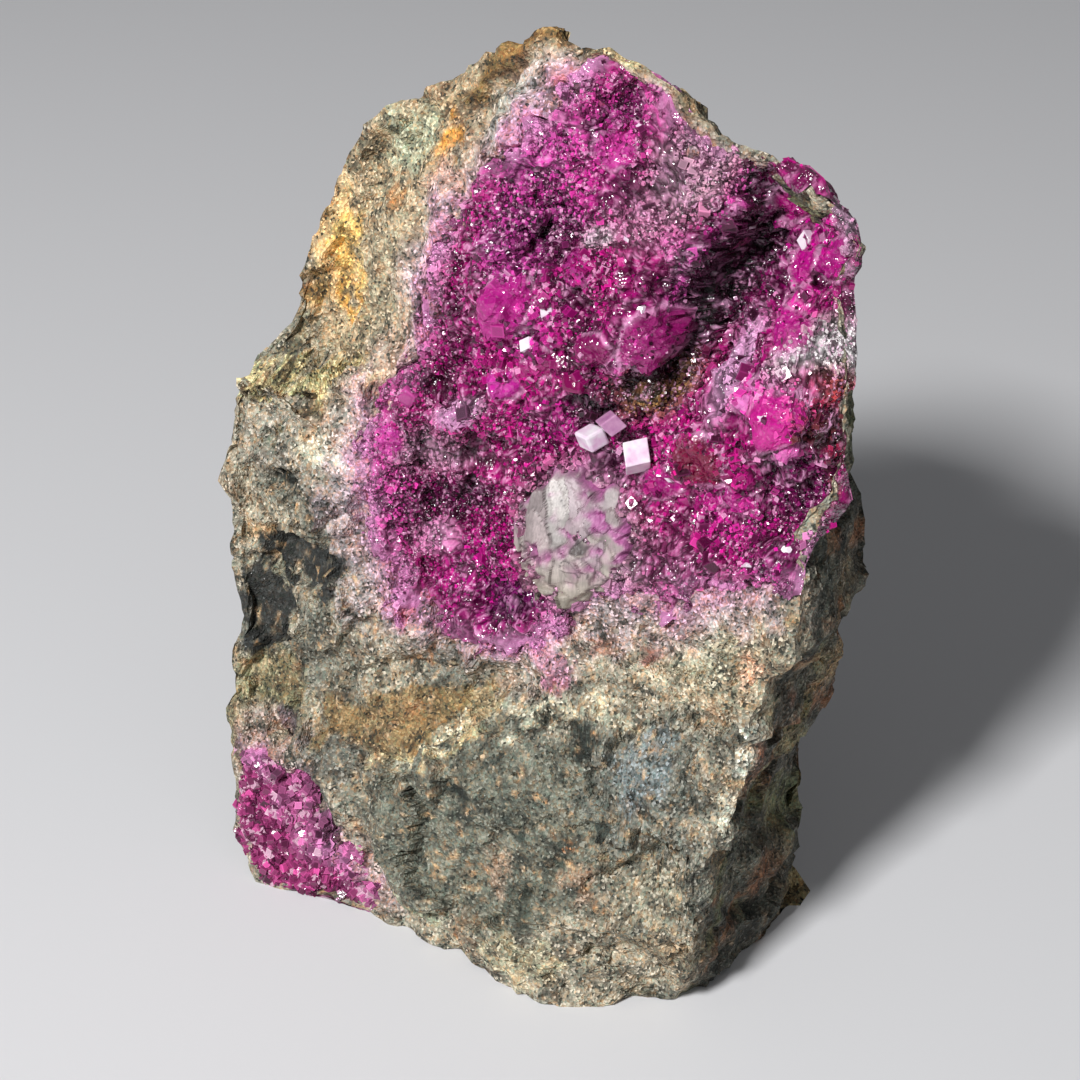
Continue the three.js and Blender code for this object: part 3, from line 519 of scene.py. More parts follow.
def paintRock():
    tones = [[linear(code) for code in rockColours[key]] for key in ("face", "wall")]
    mottle = smooth(facets(surface, 6, 201), -0.35, 0.35)[:, None]
    speckle = facets(surface, 0.75, 303)
    cream = smooth(facets(surface, 3, 205), 0.0, 0.45)[:, None]
    face, wall = [(a + (b - a) * mottle) * (1 - cream * 0.6) + c * cream * 0.6 for a, b, c in tones]
    # the wall darker than the face: partly its own colour, partly painted shade
    colour = face + (wall - face) * onWall[:, None]
    onBack = smooth(surface[:, 1], 14, 24)
    for key, where in (("rust", onWall), ("green", onWall), ("tan", onBack)):
        code, size, seed, low, high, strength = rockColours[key]
        colour = blend(colour, code, smooth(facets(surface, size, seed), low, high) * where * strength)
    for patch in rockColours["patches"]:
        share = smooth(featureShare(warpX, warpZ, patch) * 1.25 + speckle * 0.45, 0.15, 0.9)
        colour = blend(colour, patch[5], patch[6] * share * (1 - 0.9 * onWall))
    for px, py, pz, wide, high, code, strength in rockColours["wallPatches"]:
        d = np.sqrt(((warpX - px) / wide) ** 2 + ((surface[:, 1] - py) / wide) ** 2 + ((warpZ - pz) / high) ** 2)
        colour = blend(colour, code, 0.7 * strength * (1 - smooth(d, 0.5, 1.3)) * smooth(onWall, 0, 0.3))
    # pink that soaked into the rock beside the crusts, and the deep colour under them
    patchy, awayFromRim = patchyAt(surface), smooth(toRim, 0, 3)
    far, near, deep = rockColours["soaked"]
    colour = blend(colour, far, smooth(anyInside, -6.0, 0.0) * (0.25 + 0.5 * patchy) * facing * awayFromRim)
    colour = blend(colour, near, smooth(anyInside, -2.4, 0.5) * (0.3 + 0.5 * patchy) * awayFromRim)
    return blend(colour, deep, smooth(anyInside, 0.6, 1.6) * 0.9)


rockTone = paintRock()
print("rock painted")


def addNode(tree, kind, inputs=None):
    # one node: each entry is an input's name or number, or a property; a socket as its value is linked
    node = tree.nodes.new("ShaderNode" + kind)
    for key, value in (inputs or {}).items():
        if isinstance(value, bpy.types.NodeSocket):
            tree.links.new(value, node.inputs[key])
        elif key == "ramp":
            stops = node.color_ramp.elements
            while len(stops) < len(value):
                stops.new(0.5)
            for stop, (position, code) in zip(stops, value):
                stop.position = position
                stop.color = (*linear(code), 1)
        elif isinstance(key, int) or key in node.inputs:
            node.inputs[key].default_value = value
        else:
            setattr(node, key, value)
    return node.outputs


def newMaterial(name):
    # an empty material, and the function that adds a node to it
    material = bpy.data.materials.new(name)
    material.use_nodes = True
    material.node_tree.nodes.clear()
    return material, functools.partial(addNode, material.node_tree)


def brokenRock():
    # granular carbonate and silicate rock, broken by hammer: dull interlocking grains of about a quarter
    # of a millimetre in cream, brown and black-green, with a few cleavage faces that glint
    material, add = newMaterial("broken_host_rock")
    place = add("TexCoord")["Object"]
    tone = add("VertexColor", {"layer_name": "tone"})["Color"]
    # 4000 cells a metre are 0.25 mm grains
    grain = add("TexVoronoi", {"Scale": 4000, "Vector": place})
    parts = add("SeparateColor", {"Color": grain["Color"]})
    # 500 a metre are 2 mm clumps of like grains, which break up down to single grains
    clump = add("TexNoise", {"Scale": 500, "Detail": 6, "Roughness": 0.7, "Vector": place})["Fac"]
    level = add("MapRange", {"To Min": 0.55, "To Max": 1.3, "Value": parts["Red"]})[0]
    clumpLevel = add("MapRange", {"From Min": 0.36, "From Max": 0.64, "To Min": 0.3, "To Max": 1.6,
                                  "Value": clump})[0]
    both = add("Math", {"operation": "MULTIPLY", 0: level, 1: clumpLevel})[0]
    hues = [(0.0, "#dcf0ea"), (0.5, "#fffdf8"), (0.8, "#fff3e2"), (1.0, "#ffe2c4")]
    hue = add("ValToRGB", {"ramp": hues, 0: parts["Green"]})[0]
    tinted = add("VectorMath", {"operation": "MULTIPLY", 0: tone, 1: hue})[0]
    shaded = add("VectorMath", {"operation": "SCALE", 0: tinted, "Scale": both})[0]
    # rust that soaked in, in patches of about 5 mm
    stain = add("TexNoise", {"Scale": 190, "Detail": 5, "Roughness": 0.65, "Vector": place})["Fac"]
    rust = add("MapRange", {"From Min": 0.56, "From Max": 0.68, "To Min": 0, "To Max": 0.45, "Value": stain})[0]
    rusted = add("Mix", {"data_type": "RGBA", "blend_type": "MULTIPLY", 7: (*linear("#e8a878"), 1),
                         0: rust, 6: shaded})[2]
    # single pale grains, and dark grains that gather where the clumps are dark
    pale = add("MapRange", {"From Min": 0.9, "From Max": 0.93, "To Min": 0, "To Max": 0.7,
                            "Value": parts["Blue"]})[0]
    bright = add("VectorMath", {"operation": "MULTIPLY", 1: (2.1, 2.1, 2.1), 0: tone})[0]
    withPale = add("Mix", {"data_type": "RGBA", 0: pale, 6: rusted, 7: bright})[2]
    darkness = add("Math", {"operation": "ADD", 0: parts["Blue"], 1: clump})[0]
    dark = add("MapRange", {"From Min": 0.64, "From Max": 0.56, "To Min": 0, "To Max": 0.85, "Value": darkness})[0]
    colour = add("Mix", {"data_type": "RGBA", 7: (*linear("#20261f"), 1), 0: dark, 6: withPale})[2]
    glint = add("MapRange", {"From Min": 0.93, "From Max": 0.95, "To Min": 0.85, "To Max": 0.3,
                             "Value": parts["Red"]})[0]
    fine = add("TexNoise", {"Scale": 5200, "Detail": 2, "Vector": place})["Fac"]
    height = add("Math", {"operation": "MULTIPLY_ADD", 1: 0.6, 0: fine, 2: grain["Distance"]})[0]
    bump = add("Bump", {"Strength": 0.8, "Distance": 0.2 * mm, "Height": height})[0]
    shader = add("BsdfPrincipled", {"IOR": 1.55, "Base Color": colour, "Roughness": glint, "Normal": bump})[0]
    add("OutputMaterial", {"Surface": shader})
    return material


def crustBed():
    # the crust itself: intergrown calcite crystals, magenta by their cobalt and wet-looking, glassy in patches
    # and sugary between them; painted shade in the seams, painted highlights on the ridges, painted glint flecks
    material, add = newMaterial("magenta_crust_bed")
    place = add("TexCoord")["Object"]
    painted = add("VertexColor", {"layer_name": "tone"})
    sugary = add("Math", {"operation": "SUBTRACT", 0: 1.0, 1: painted["Alpha"]})[0]
    # 4200 cells a metre are 0.24 mm facets
    grain = add("TexVoronoi", {"Scale": 4200, "Vector": place})
    parts = add("SeparateColor", {"Color": grain["Color"]})
    spread = add("MapRange", {"To Min": -0.75, "To Max": 0.6, "Value": parts["Red"]})[0]
    amount = add("MapRange", {"To Min": 0.2, "To Max": 1.0, "Value": sugary})[0]
    level = add("Math", {"operation": "MULTIPLY_ADD", 2: 1.0, 0: spread, 1: amount})[0]
    shaded = add("VectorMath", {"operation": "SCALE", 0: painted["Color"], "Scale": level})[0]
    # pale flecks on single facets: painted glints
    glintFleck = add("MapRange", {"From Min": 0.9, "From Max": 0.93, "To Min": 0, "To Max": 0.7,
                             "Value": parts["Green"]})[0]
    glintFlecks = add("Math", {"operation": "MULTIPLY", 0: glintFleck, 1: amount})[0]
    colour = add("Mix", {"data_type": "RGBA", 7: (*linear("#f0a8d0"), 1), 0: glintFlecks, 6: shaded})[2]
    bump = add("Bump", {"Distance": 0.2 * mm, "Height": grain["Distance"], "Strength": amount})[0]
    shader = add("BsdfPrincipled", {"IOR": 1.55, "Roughness": 0.13, "Transmission Weight": 0.15,
                                    "Base Color": colour, "Normal": bump})[0]
    add("OutputMaterial", {"Surface": shader})
    return material


def cobaltCalcite(name, clear, rough, edgeHighlightGain):
    # cobaltoan calcite as it grew: glassy rhomb faces, magenta by its cobalt and partly clear, with a
    # painted highlight that pales each face towards its edges
    material, add = newMaterial(name)
    place = add("TexCoord")["Object"]
    tone = add("VertexColor", {"layer_name": "tone"})["Color"]
    across = add("UVMap", {"uv_map": "face"})["UV"]
    centred = add("VectorMath", {"operation": "SUBTRACT", 1: (0.5, 0.5, 0), 0: across})[0]
    size = add("VectorMath", {"operation": "ABSOLUTE", 0: centred})[0]
    sides = add("SeparateXYZ", {0: size})
    toEdge = add("Math", {"operation": "MAXIMUM", 0: sides[0], 1: sides[1]})[0]
    edge = add("MapRange", {"From Min": 0.36, "From Max": 0.5, "To Min": 0, "To Max": 1, "Value": toEdge})[0]
    # painted highlight along each face's edge: the crystal's own colour made lighter, tone * gain + a little pink
    paintedEdgeLight = add("VectorMath", {"operation": "MULTIPLY_ADD", 1: (edgeHighlightGain, edgeHighlightGain, edgeHighlightGain),
                                 2: (0.07, 0.012, 0.045), 0: tone})[0]
    colour = add("Mix", {"data_type": "RGBA", 0: edge, 6: tone, 7: paintedEdgeLight})[2]
    # growth steps on the faces, about 0.3 mm apart
    steps = add("TexNoise", {"Scale": 3200, "Detail": 2, "Vector": place})["Fac"]
    bump = add("Bump", {"Strength": 0.35, "Distance": 0.1 * mm, "Height": steps})[0]
    shader = add("BsdfPrincipled", {"IOR": 1.55, "Roughness": rough, "Transmission Weight": clear,
                                    "Base Color": colour, "Normal": bump})[0]
    add("OutputMaterial", {"Surface": shader})
    return material


def cleavedCalcite():
    # colourless calcite cleaved in the rock: milky plates, partly clear, lined along their cleavage
    material, add = newMaterial("cleaved_clear_calcite")
    place = add("TexCoord")["Object"]
    tone = add("VertexColor", {"layer_name": "tone"})["Color"]
    # cleavage lines 0.15 mm apart, drawn out ten times down the plates
    drawn = add("Mapping", {"Scale": (6500, 6500, 650), "Vector": place})[0]
    lines = add("TexNoise", {"Scale": 1.0, "Detail": 3, "Roughness": 0.6, "Vector": drawn})["Fac"]
    cloud = add("TexNoise", {"Scale": 900, "Detail": 4, "Vector": place})["Fac"]
    mixed = add("Math", {"operation": "MULTIPLY", 0: lines, 1: cloud})[0]
    level = add("MapRange", {"From Min": 0.14, "From Max": 0.36, "To Min": 0.75, "To Max": 1.2, "Value": mixed})[0]
    colour = add("VectorMath", {"operation": "SCALE", 0: tone, "Scale": level})[0]
    bump = add("Bump", {"Strength": 0.35, "Distance": 0.1 * mm, "Height": lines})[0]
    shader = add("BsdfPrincipled", {"IOR": 1.6, "Roughness": 0.5, "Transmission Weight": 0.15,
                                    "Base Color": colour, "Normal": bump})[0]
    add("OutputMaterial", {"Surface": shader})
    return material


def paleCalcite(name, colours):
    # pale cobaltoan calcite rhombs, glassy and nearly white on the faces that catch the light
    material, add = newMaterial(name)
    # clouds of about 1.4 mm
    cloud = add("TexNoise", {"Scale": 700, "Detail": 4, "Vector": add("TexCoord")["Object"]})["Fac"]
    colour = add("ValToRGB", {"ramp": list(zip((0.3, 0.5, 0.7), colours)), 0: cloud})[0]
    bump = add("Bump", {"Strength": 0.2, "Distance": 0.1 * mm, "Height": cloud})[0]
    shader = add("BsdfPrincipled", {"IOR": 1.6, "Roughness": 0.1, "Transmission Weight": 0.12,
                                    "Base Color": colour, "Normal": bump})[0]
    add("OutputMaterial", {"Surface": shader})
    return material


rockMaterial = brokenRock()
bedMaterial = crustBed()
smallCalcite = cobaltCalcite("small_cobalt_calcite", 0.15, 0.16, 1.4)
largeCalcite = cobaltCalcite("large_cobalt_calcite", 0.4, 0.1, 1.5)
clearMaterial = cleavedCalcite()
paleMaterial = paleCalcite("pale_rhomb_calcite", ("#e8b4dc", "#f6e6f4", "#ffffff"))
pinkMaterial = paleCalcite("pink_rhomb_calcite", ("#a8609c", "#c890b8", "#dcb4d0"))
print("materials made")

linkPiece("rock_slab", meshOf("rock_slab", rockPoints, rockFaces, rockTone), rockMaterial, ["matrix"])
print("rock slab made:", len(rockFaces), "triangles")

druse = {
    # colours of the crust: x, z, half-lengths, turn, colour, strength, softness; the near-black and deep
    # maroon zones that lie on its hollows and beside the lips are painted shade
    "zones": [
        (8.6, 80.8, 3.8, 3.2, 40, "#d050a0", 0.6, 0.5), (8.7, 80.5, 1.7, 1.5, 52, "#54063c", 0.85, 0.5),
        (1.7, 76.9, 3.7, 3, 33, "#9c4c8c", 0.6, 0.6), (-8.1, 64.2, 3.9, 1.5, -84, "#e8a0cc", 0.7, 0.6),
        (1.3, 69, 4.3, 3.4, 85, "#a04890", 0.5, 0.6), (15.9, 77, 3.8, 3.3, 49, "#caa6b4", 0.8, 0.5),
        (13.3, 73.2, 2.9, 2.7, 37, "#c090a8", 0.6, 0.6), (9.2, 70.9, 1.6, 0.9, 19, "#f2e2ea", 0.8, 0.5),
        (4.6, 70.1, 3, 2.4, 33, "#340824", 0.9, 0.5), (16.7, 71, 2.3, 1.2, 3, "#e678bc", 0.75, 0.5),
        (17.9, 67, 6.6, 2.1, 77, "#14040a", 0.97, 0.35), (14.3, 65.1, 3.7, 2.3, -88, "#6a0c4e", 0.6, 0.6),
        (23.9, 71, 5.6, 4.9, 65, "#c0108c", 0.7, 0.5), (29.6, 74.4, 3.3, 1.2, -71, "#b09aac", 0.75, 0.5),
        (30.7, 64.3, 4, 2.7, 23, "#f0ecec", 0.95, 0.4), (5.6, 76, 6, 5, 20, "#c83c9c", 0.45, 0.6),
        (30.6, 61.8, 3.4, 1.8, 15, "#a02416", 0.9, 0.45), (31.8, 58.8, 2.6, 1.6, 21, "#54301a", 0.85, 0.45),
        (32.7, 53.3, 1.1, 0.8, 87, "#e07020", 0.9, 0.4), (32.9, 56.4, 1.3, 0.8, -88, "#8c2418", 0.7, 0.5),
        (14.7, 57.9, 3.6, 2.7, 26, "#806434", 0.97, 0.4), (10.5, 58.5, 4.5, 2.8, 20, "#60083c", 0.6, 0.6),
        (21.7, 60.9, 3.2, 1.9, -87, "#dcb0d6", 0.7, 0.5), (27.1, 60.5, 3.5, 2.4, 23, "#d848a8", 0.8, 0.5),
        (29.2, 56.2, 1.3, 0.9, 23, "#f090d0", 0.7, 0.5), (21, 53.2, 3, 2.5, 33, "#7c0438", 0.9, 0.4),
        (23.9, 48.7, 3.5, 2.3, 22, "#c42892", 0.5, 0.6), (30, 53, 4, 3.5, 69, "#480838", 0.8, 0.5),
        (31.1, 46.5, 4.5, 2, 17, "#c81c94", 0.7, 0.5), (32, 47.4, 2.8, 0.9, -83, "#d8a0c8", 0.7, 0.5),
        (18.1, 42.1, 4.5, 2.6, 19, "#c8609c", 0.75, 0.5), (-11.8, 42.8, 7, 1.8, -83, "#d850a8", 0.75, 0.5),
        (-7.4, 46, 3.7, 2.5, 22, "#a08090", 0.75, 0.5), (-5.8, 41.1, 4.9, 1.7, 17, "#340a26", 0.85, 0.5),
        (-7.1, 37.1, 2.2, 1.6, 26, "#f0a4d2", 0.75, 0.5), (-1.7, 35.1, 4.8, 3.8, 29, "#b41484", 0.5, 0.5),
        (2.8, 34.7, 3.7, 1.6, 18, "#4c104a", 0.75, 0.5), (-4.1, 51.4, 2.8, 1.1, 25, "#dab0d2", 0.75, 0.5),
        (14.4, 39.1, 2.8, 2.4, 58, "#d488ae", 0.7, 0.5), (-4.1, 57.8, 4.7, 3, -88, "#7c1058", 0.5, 0.6),
        (7.7, 64.5, 2.3, 1.9, 79, "#5c0a44", 0.6, 0.6), (11.2, 61.8, 2.8, 2, 24, "#8c0c66", 0.5, 0.6),
        (6.4, 53.1, 3.7, 2.4, 21, "#a01078", 0.5, 0.6), (10.5, 55.7, 2.4, 1.1, 18, "#3c0828", 0.7, 0.6),
        (9.8, 48.3, 4.3, 2, 18, "#b86aa0", 0.5, 0.6), (2.7, 32, 3.9, 1.5, 17, "#8c1264", 0.6, 0.5),
        (2.8, 61.5, 3.4, 3, 52, "#d040a8", 0.4, 0.5), (9.6, 42.6, 6.2, 6.4, 20, "#a89098", 0.85, 0.35),
        (8.6, 54, 1.6, 1.5, 0, "#0c120c", 0.95, 0.5), (12, 50.6, 1.6, 0.6, 15, "#2a0620", 0.85, 0.5),
    ],
    # where the crystals are bigger: x, z, half-lengths, turn, factor, softness
    "sizes": [
        (1.5, 61, 7, 6, 20, 1.7, 0.6), (24, 71, 6, 7, 0, 1.15, 0.6), (27, 58, 5, 5, 0, 1.6, 0.6),
        (12, 50, 9, 4, 0, 1.5, 0.6), (22, 50, 6, 5, 0, 1.4, 0.6), (-7, 42, 6, 10, 0, 0.9, 0.5),
    ],
    # where the crystals stand thinner: x, z, half-lengths, turn, share left, softness
    "bare": [
        (18.1, 42.1, 4, 2.4, 19, 0.25, 0.5), (21, 53.2, 2.4, 2, 33, 0, 0.4), (9.7, 43, 3.5, 4.3, 20, 0.03, 0.5),
        (9.9, 52.3, 1.6, 1.6, 0, 0, 0.4), (13.6, 51.3, 1.9, 1.9, 0, 0, 0.4), (11.9, 55, 1.5, 1.5, 0, 0, 0.4),
        (-0.5, 61.5, 1.5, 1.5, 0, 0.1, 0.4), (27.2, 59.2, 1.4, 1.4, 0, 0.1, 0.4),
    ],
    # base colours of the crust and the corner; the seam share darkens the crystals' gaps as painted shade, and the
    # ridge colour is a painted highlight on their ridges
    "base": "#9c1068", "corner": "#80305c", "edge": "#d690c0", "seamShade": 0.85, "ridge": "#f4b0dc", "seed": 12,
    # painted shadow under the lips, painted highlight on them, a painted highlight round the domes' rims, and the
    # palest and darkest crystals
    "paintedLipShadow": "#1c0410", "paintedLipHighlight": "#dc5cb4", "domeRimHighlight": "#eea8d4", "palest": "#f4b4dc", "darkest": "#2c041c",
    # big rounded crystals of the crust: x, z, half-lengths, turn, height, colour, softness
    "domes": [
        (1.6, 63.6, 2.1, 2.9, -20, 1, "#b81c88", 0.35), (0.4, 55.4, 1.6, 1.5, 0, 0.8, "#cc28a0", 0.35),
        (4.6, 58.6, 1.6, 1.4, 30, 0.6, "#980c64", 0.35), (2.8, 56.7, 1.3, 1.1, 0, 0.5, "#a0106c", 0.35),
        (20.8, 53.4, 3.4, 2.6, 33, 1.2, "#7c0438", 0.35), (28.2, 59.6, 2.5, 2.2, 20, 1.1, "#c8188c", 0.35),
        (25.2, 60.6, 1.7, 1.3, 40, 0.7, "#e880c8", 0.4), (29.6, 57.2, 1, 0.9, 20, 0.7, "#e060b4", 0.35),
        (25.6, 69.4, 2.6, 1.6, 60, 0.8, "#bc1088", 0.35), (23.2, 73.6, 2, 1.4, 30, 0.6, "#a80c74", 0.35),
        (27, 65.6, 1.9, 1.5, 10, 0.6, "#b01480", 0.35), (29, 71.5, 1.8, 1.3, 70, 0.5, "#a8187c", 0.35),
        (14.6, 63, 1.5, 2.4, -20, 0.7, "#98186c", 0.4), (10.4, 61.6, 1.9, 1.5, 20, 0.6, "#840c58", 0.4),
        (-11.2, 47, 1.2, 1.8, 0, 0.5, "#d040a4", 0.4), (-4.5, 50.6, 2, 1.2, 20, 0.6, "#cc88b8", 0.4),
        (7.6, 67.6, 1.8, 1.4, 0, 0.5, "#a82c80", 0.4), (16.6, 49.4, 2.2, 1.4, 15, 0.5, "#98106c", 0.4),
        (24.5, 50.5, 1.8, 1.4, 0, 0.5, "#a8147c", 0.4), (9.4, 78, 1.6, 1.4, 0, 0.5, "#c43c98", 0.4),
    ],
    # where the crust is glassy: x, z, half-lengths, turn, share, softness
    "glassy": [
        (24.5, 70.5, 6, 7.5, 10, 0.9, 0.4), (21, 53.2, 3, 2.4, 33, 1, 0.4), (0.6, 62.6, 3, 2.4, 60, 1, 0.4),
        (26.5, 58.8, 4, 3, 20, 1, 0.4), (16, 63, 2, 4, -20, 0.9, 0.5), (10.5, 61, 3.5, 2.5, 20, 0.9, 0.5),
        (18.5, 43, 4.5, 2.5, 19, 1, 0.5), (14, 47.5, 4, 2, 15, 0.8, 0.5), (-0.4, 54.6, 2.2, 2, 0, 1, 0.4),
    ],
    # layers of crystals: name, count, smallest and largest edge, material, stand
    "layers": [
        ("vug_crystals_fine", 13000, 0.14, 0.34, smallCalcite, -0.15),
        ("vug_crystals_small", 1100, 0.35, 0.75, smallCalcite, -0.4),
        ("vug_crystals_mid", 150, 0.7, 1.3, largeCalcite, -0.5),
    ],
    # separate rounded crystals: x, z, edge, colour; and how many more of them at random
    "placed": [
        (-3.5, 66, 1.8, "#d060ac"), (6.5, 59.6, 1.8, "#a00c68"), (9, 58.6, 2, "#8c0a58"),
        (16.5, 55.6, 1.7, "#b01c80"), (-8.5, 52, 1.7, "#c8509c"), (-3, 47.5, 1.8, "#b43c88"),
        (19.5, 48.5, 1.8, "#b01878"), (22.4, 56.6, 1.5, "#e898cc"),
    ], "rounded": 24,
    # white slivers set where glints show, painted highlights: x, z, length
    "glintSlivers": [
        (5.5, 63.9, 1.3), (3.4, 60.1, 1.2), (14.2, 65.8, 0.6), (24.6, 70.8, 1.3), (20.3, 72, 0.8),
        (19.4, 63.4, 0.7), (11.6, 71.2, 0.5), (-3.6, 61.4, 0.5), (2.6, 45.5, 0.5), (30, 47.6, 0.6),
        (27, 45.8, 0.7), (9.6, 79.4, 0.6), (27.8, 60.4, 0.6), (17.6, 50.2, 0.6),
    ],
    "cornerCount": 2600, "cornerPale": "#dcb0c6",
}


def paintDruse(x, z, base):
    colour = np.broadcast_to(linear(base), (len(x), 3)).copy()
    for zone in druse["zones"]:
        colour = blend(colour, zone[5], zone[6] * featureShare(x, z, zone))
    # painted highlight along the top of the lips, and painted shadow, nearly black, under them
    above = [[bx, bz, ax, az, 1.0, 1.4] for ax, az, bx, bz, _, _ in crust["lips"]]
    colour = blend(colour, druse["paintedLipHighlight"], 0.6 * smooth(stepDepth(x, z, above), 0.3, 0.9))
    return blend(colour, druse["paintedLipShadow"], 0.92 * smooth(stepDepth(x, z, crust["lips"]), 0.6, 1.8))


def fadedEdge(tones, near, places):
    # the crust pales over its last 2.5 mm, in patches
    return blend(tones, druse["edge"], (0.25 + 0.6 * patchyAt(places)) * (1 - smooth(near, 0.2, 2.6)))


def capped(tones):
    # bright colours scaled down whole, so that their hue stays
    return np.maximum(tones / np.maximum(tones.max(1, keepdims=True) / 0.8, 1), 0.002)


def glassiness(points):
    # from 0 where the crust is sugary to 1 where it is smooth glassy crystal, in patches of 3 mm and in zones
    share = smooth(facets(points, 3.2, 191), 0.0, 0.3)
    for zone in druse["glassy"]:
        share = np.maximum(share, featureShare(points[:, 0], points[:, 2], zone) * zone[5])
    return share


def intergrown(points, out, size, seed):
    # highest of the near cells' pyramids: each has three faces, with height
    # (h - |depth| / 2 - slope * largest of the three ways . offset) in cell sizes; also gives how far
    # the next pyramid lies below, how near a ridge is, and a number for the crystal
    first = np.cross([0.0, 0.0, 1.0], out)
    first /= np.maximum(np.linalg.norm(first, axis=1, keepdims=True), 1e-6)
    second = np.cross(out, first)
    best, beaten = np.full(len(points), -9.0), np.full(len(points), -9.0)
    ridge, mark = np.zeros(len(points)), np.zeros(len(points))
    for n, d in nearCells(points / size, seed):
        u, v, w = (d * first).sum(1), (d * second).sum(1), (d * out).sum(1)
        ways = np.stack([u * np.cos(n[3] * 6.28 + k) + v * np.sin(n[3] * 6.28 + k) for k in (0, 2.094, 4.189)])
        ways.sort(axis=0)
        top = n[4] * 0.45 - np.abs(w) * 0.5 - (0.45 + 0.5 * n[5]) * ways[2] + 0.3 * (n[5] - 0.5) * u
        wins = top > best
        beaten = np.where(wins, best, np.maximum(beaten, top))
        ridge = np.where(wins, ways[2] - ways[1], ridge)
        mark = np.where(wins, n[0], mark)
        best = np.where(wins, top, best)
    return best * size, (best - beaten) * size, ridge * size, mark


def finer(values):
    # the grid with a point between every two, by their mean, both along and around
    doubled = np.empty((2 * len(values) - 1,) + values.shape[1:])
    doubled[::2], doubled[1::2] = values, (values[1:] + values[:-1]) / 2
    beside = (doubled + np.roll(doubled, -1, 1)) / 2
    return np.stack([doubled, beside], 2).reshape((len(doubled), -1) + values.shape[2:])


def fineGrid(values):
    # the face and half of the wall on the finer grid, then the face's pole
    grid = values[: ringCount * aroundCount].reshape((ringCount, aroundCount) + values.shape[1:])
    fine = finer(grid[: slab["faceRings"] + slab["wallRings"] // 2])
    return np.concatenate([fine.reshape((-1,) + values.shape[1:]), values[-2:-1]])


def finePatch(inside, lowest, random, *values):
    # the part of the finer grid where inside is above lowest: the numbers of its points in that grid, its
    # triangles, then each value on its points
    rowCount = 2 * (slab["faceRings"] + slab["wallRings"] // 2) - 1
    triangles = gridTriangles(rowCount, 2 * aroundCount, random)
    triangles = triangles[(fineGrid(inside)[triangles] > lowest).all(1)]
    used, triangles = np.unique(triangles, return_inverse=True)
    triangles = triangles.reshape(-1, 3)
    floor, *rest = (fineGrid(value)[used] for value in (plain, inside, inward, *values))
    if faceNormals(floor, triangles)[0][:, 1].mean() > 0:
        triangles = triangles[:, ::-1]
    return used, triangles, floor, *rest


def parentPoints(used, columnStep, ringStep):
    # each point of the finer grid stands for itself or for one up to a step before it, if that is used too
    ring, column = used // (2 * aroundCount), used % (2 * aroundCount)
    chosen = used - column % columnStep(ring) - (ring % ringStep) * 2 * aroundCount
    chosen = np.where(used == used[-1], used, chosen)
    place = np.searchsorted(used, chosen)
    return np.where(used[place] == chosen, place, np.arange(len(used)))


def thinnedColumns(used):
    # near the pole, where columns run together, only every fourth and then every other column is kept
    fourths, halves = crust["thinRings"]
    return parentPoints(used, lambda ring: np.where(ring < fourths, 4, np.where(ring < halves, 2, 1)), 1)


def merged(triangles, parents):
    # the triangles between the points' parents, without those that fold to nothing
    triangles = parents[triangles]
    return triangles[(triangles != np.roll(triangles, 1, 1)).all(1)]


def closedShell(used, points, triangles, ways, depth, tones):
    # the surface, a four times coarser one further in, and a strip along the open edge, less spare points
    directed = triangles[:, [0, 1, 1, 2, 2, 0]].reshape(-1, 2)
    _, where, count = np.unique(np.sort(directed, axis=1), axis=0, return_inverse=True, return_counts=True)
    a, b = directed[count[where.ravel()] == 1].T
    inner = points - ways * depth
    inner[:, 2] = np.maximum(inner[:, 2], 0.01)
    n = len(points)
    strip = np.concatenate([np.stack([b, a, a + n], -1), np.stack([b, a + n, b + n], -1)])
    below = np.append(np.arange(n), parentPoints(used, lambda ring: 4, 4) + n)
    faces = np.concatenate([triangles, merged(triangles[:, ::-1] + n, below), merged(strip, below)])
    kept, faces = np.unique(faces, return_inverse=True)
    return np.concatenate([points, inner])[kept], faces.reshape(-1, 3), np.tile(tones, (2, 1))[kept]


def pointNormals(points, triangles):
    flat, area = faceNormals(points, triangles)
    total = [np.bincount(triangles.ravel(), np.repeat(flat[:, axis] * area, 3), len(points)) for axis in range(3)]
    total = np.stack(total, -1)
    return total / np.maximum(np.linalg.norm(total, axis=1, keepdims=True), 1e-12)


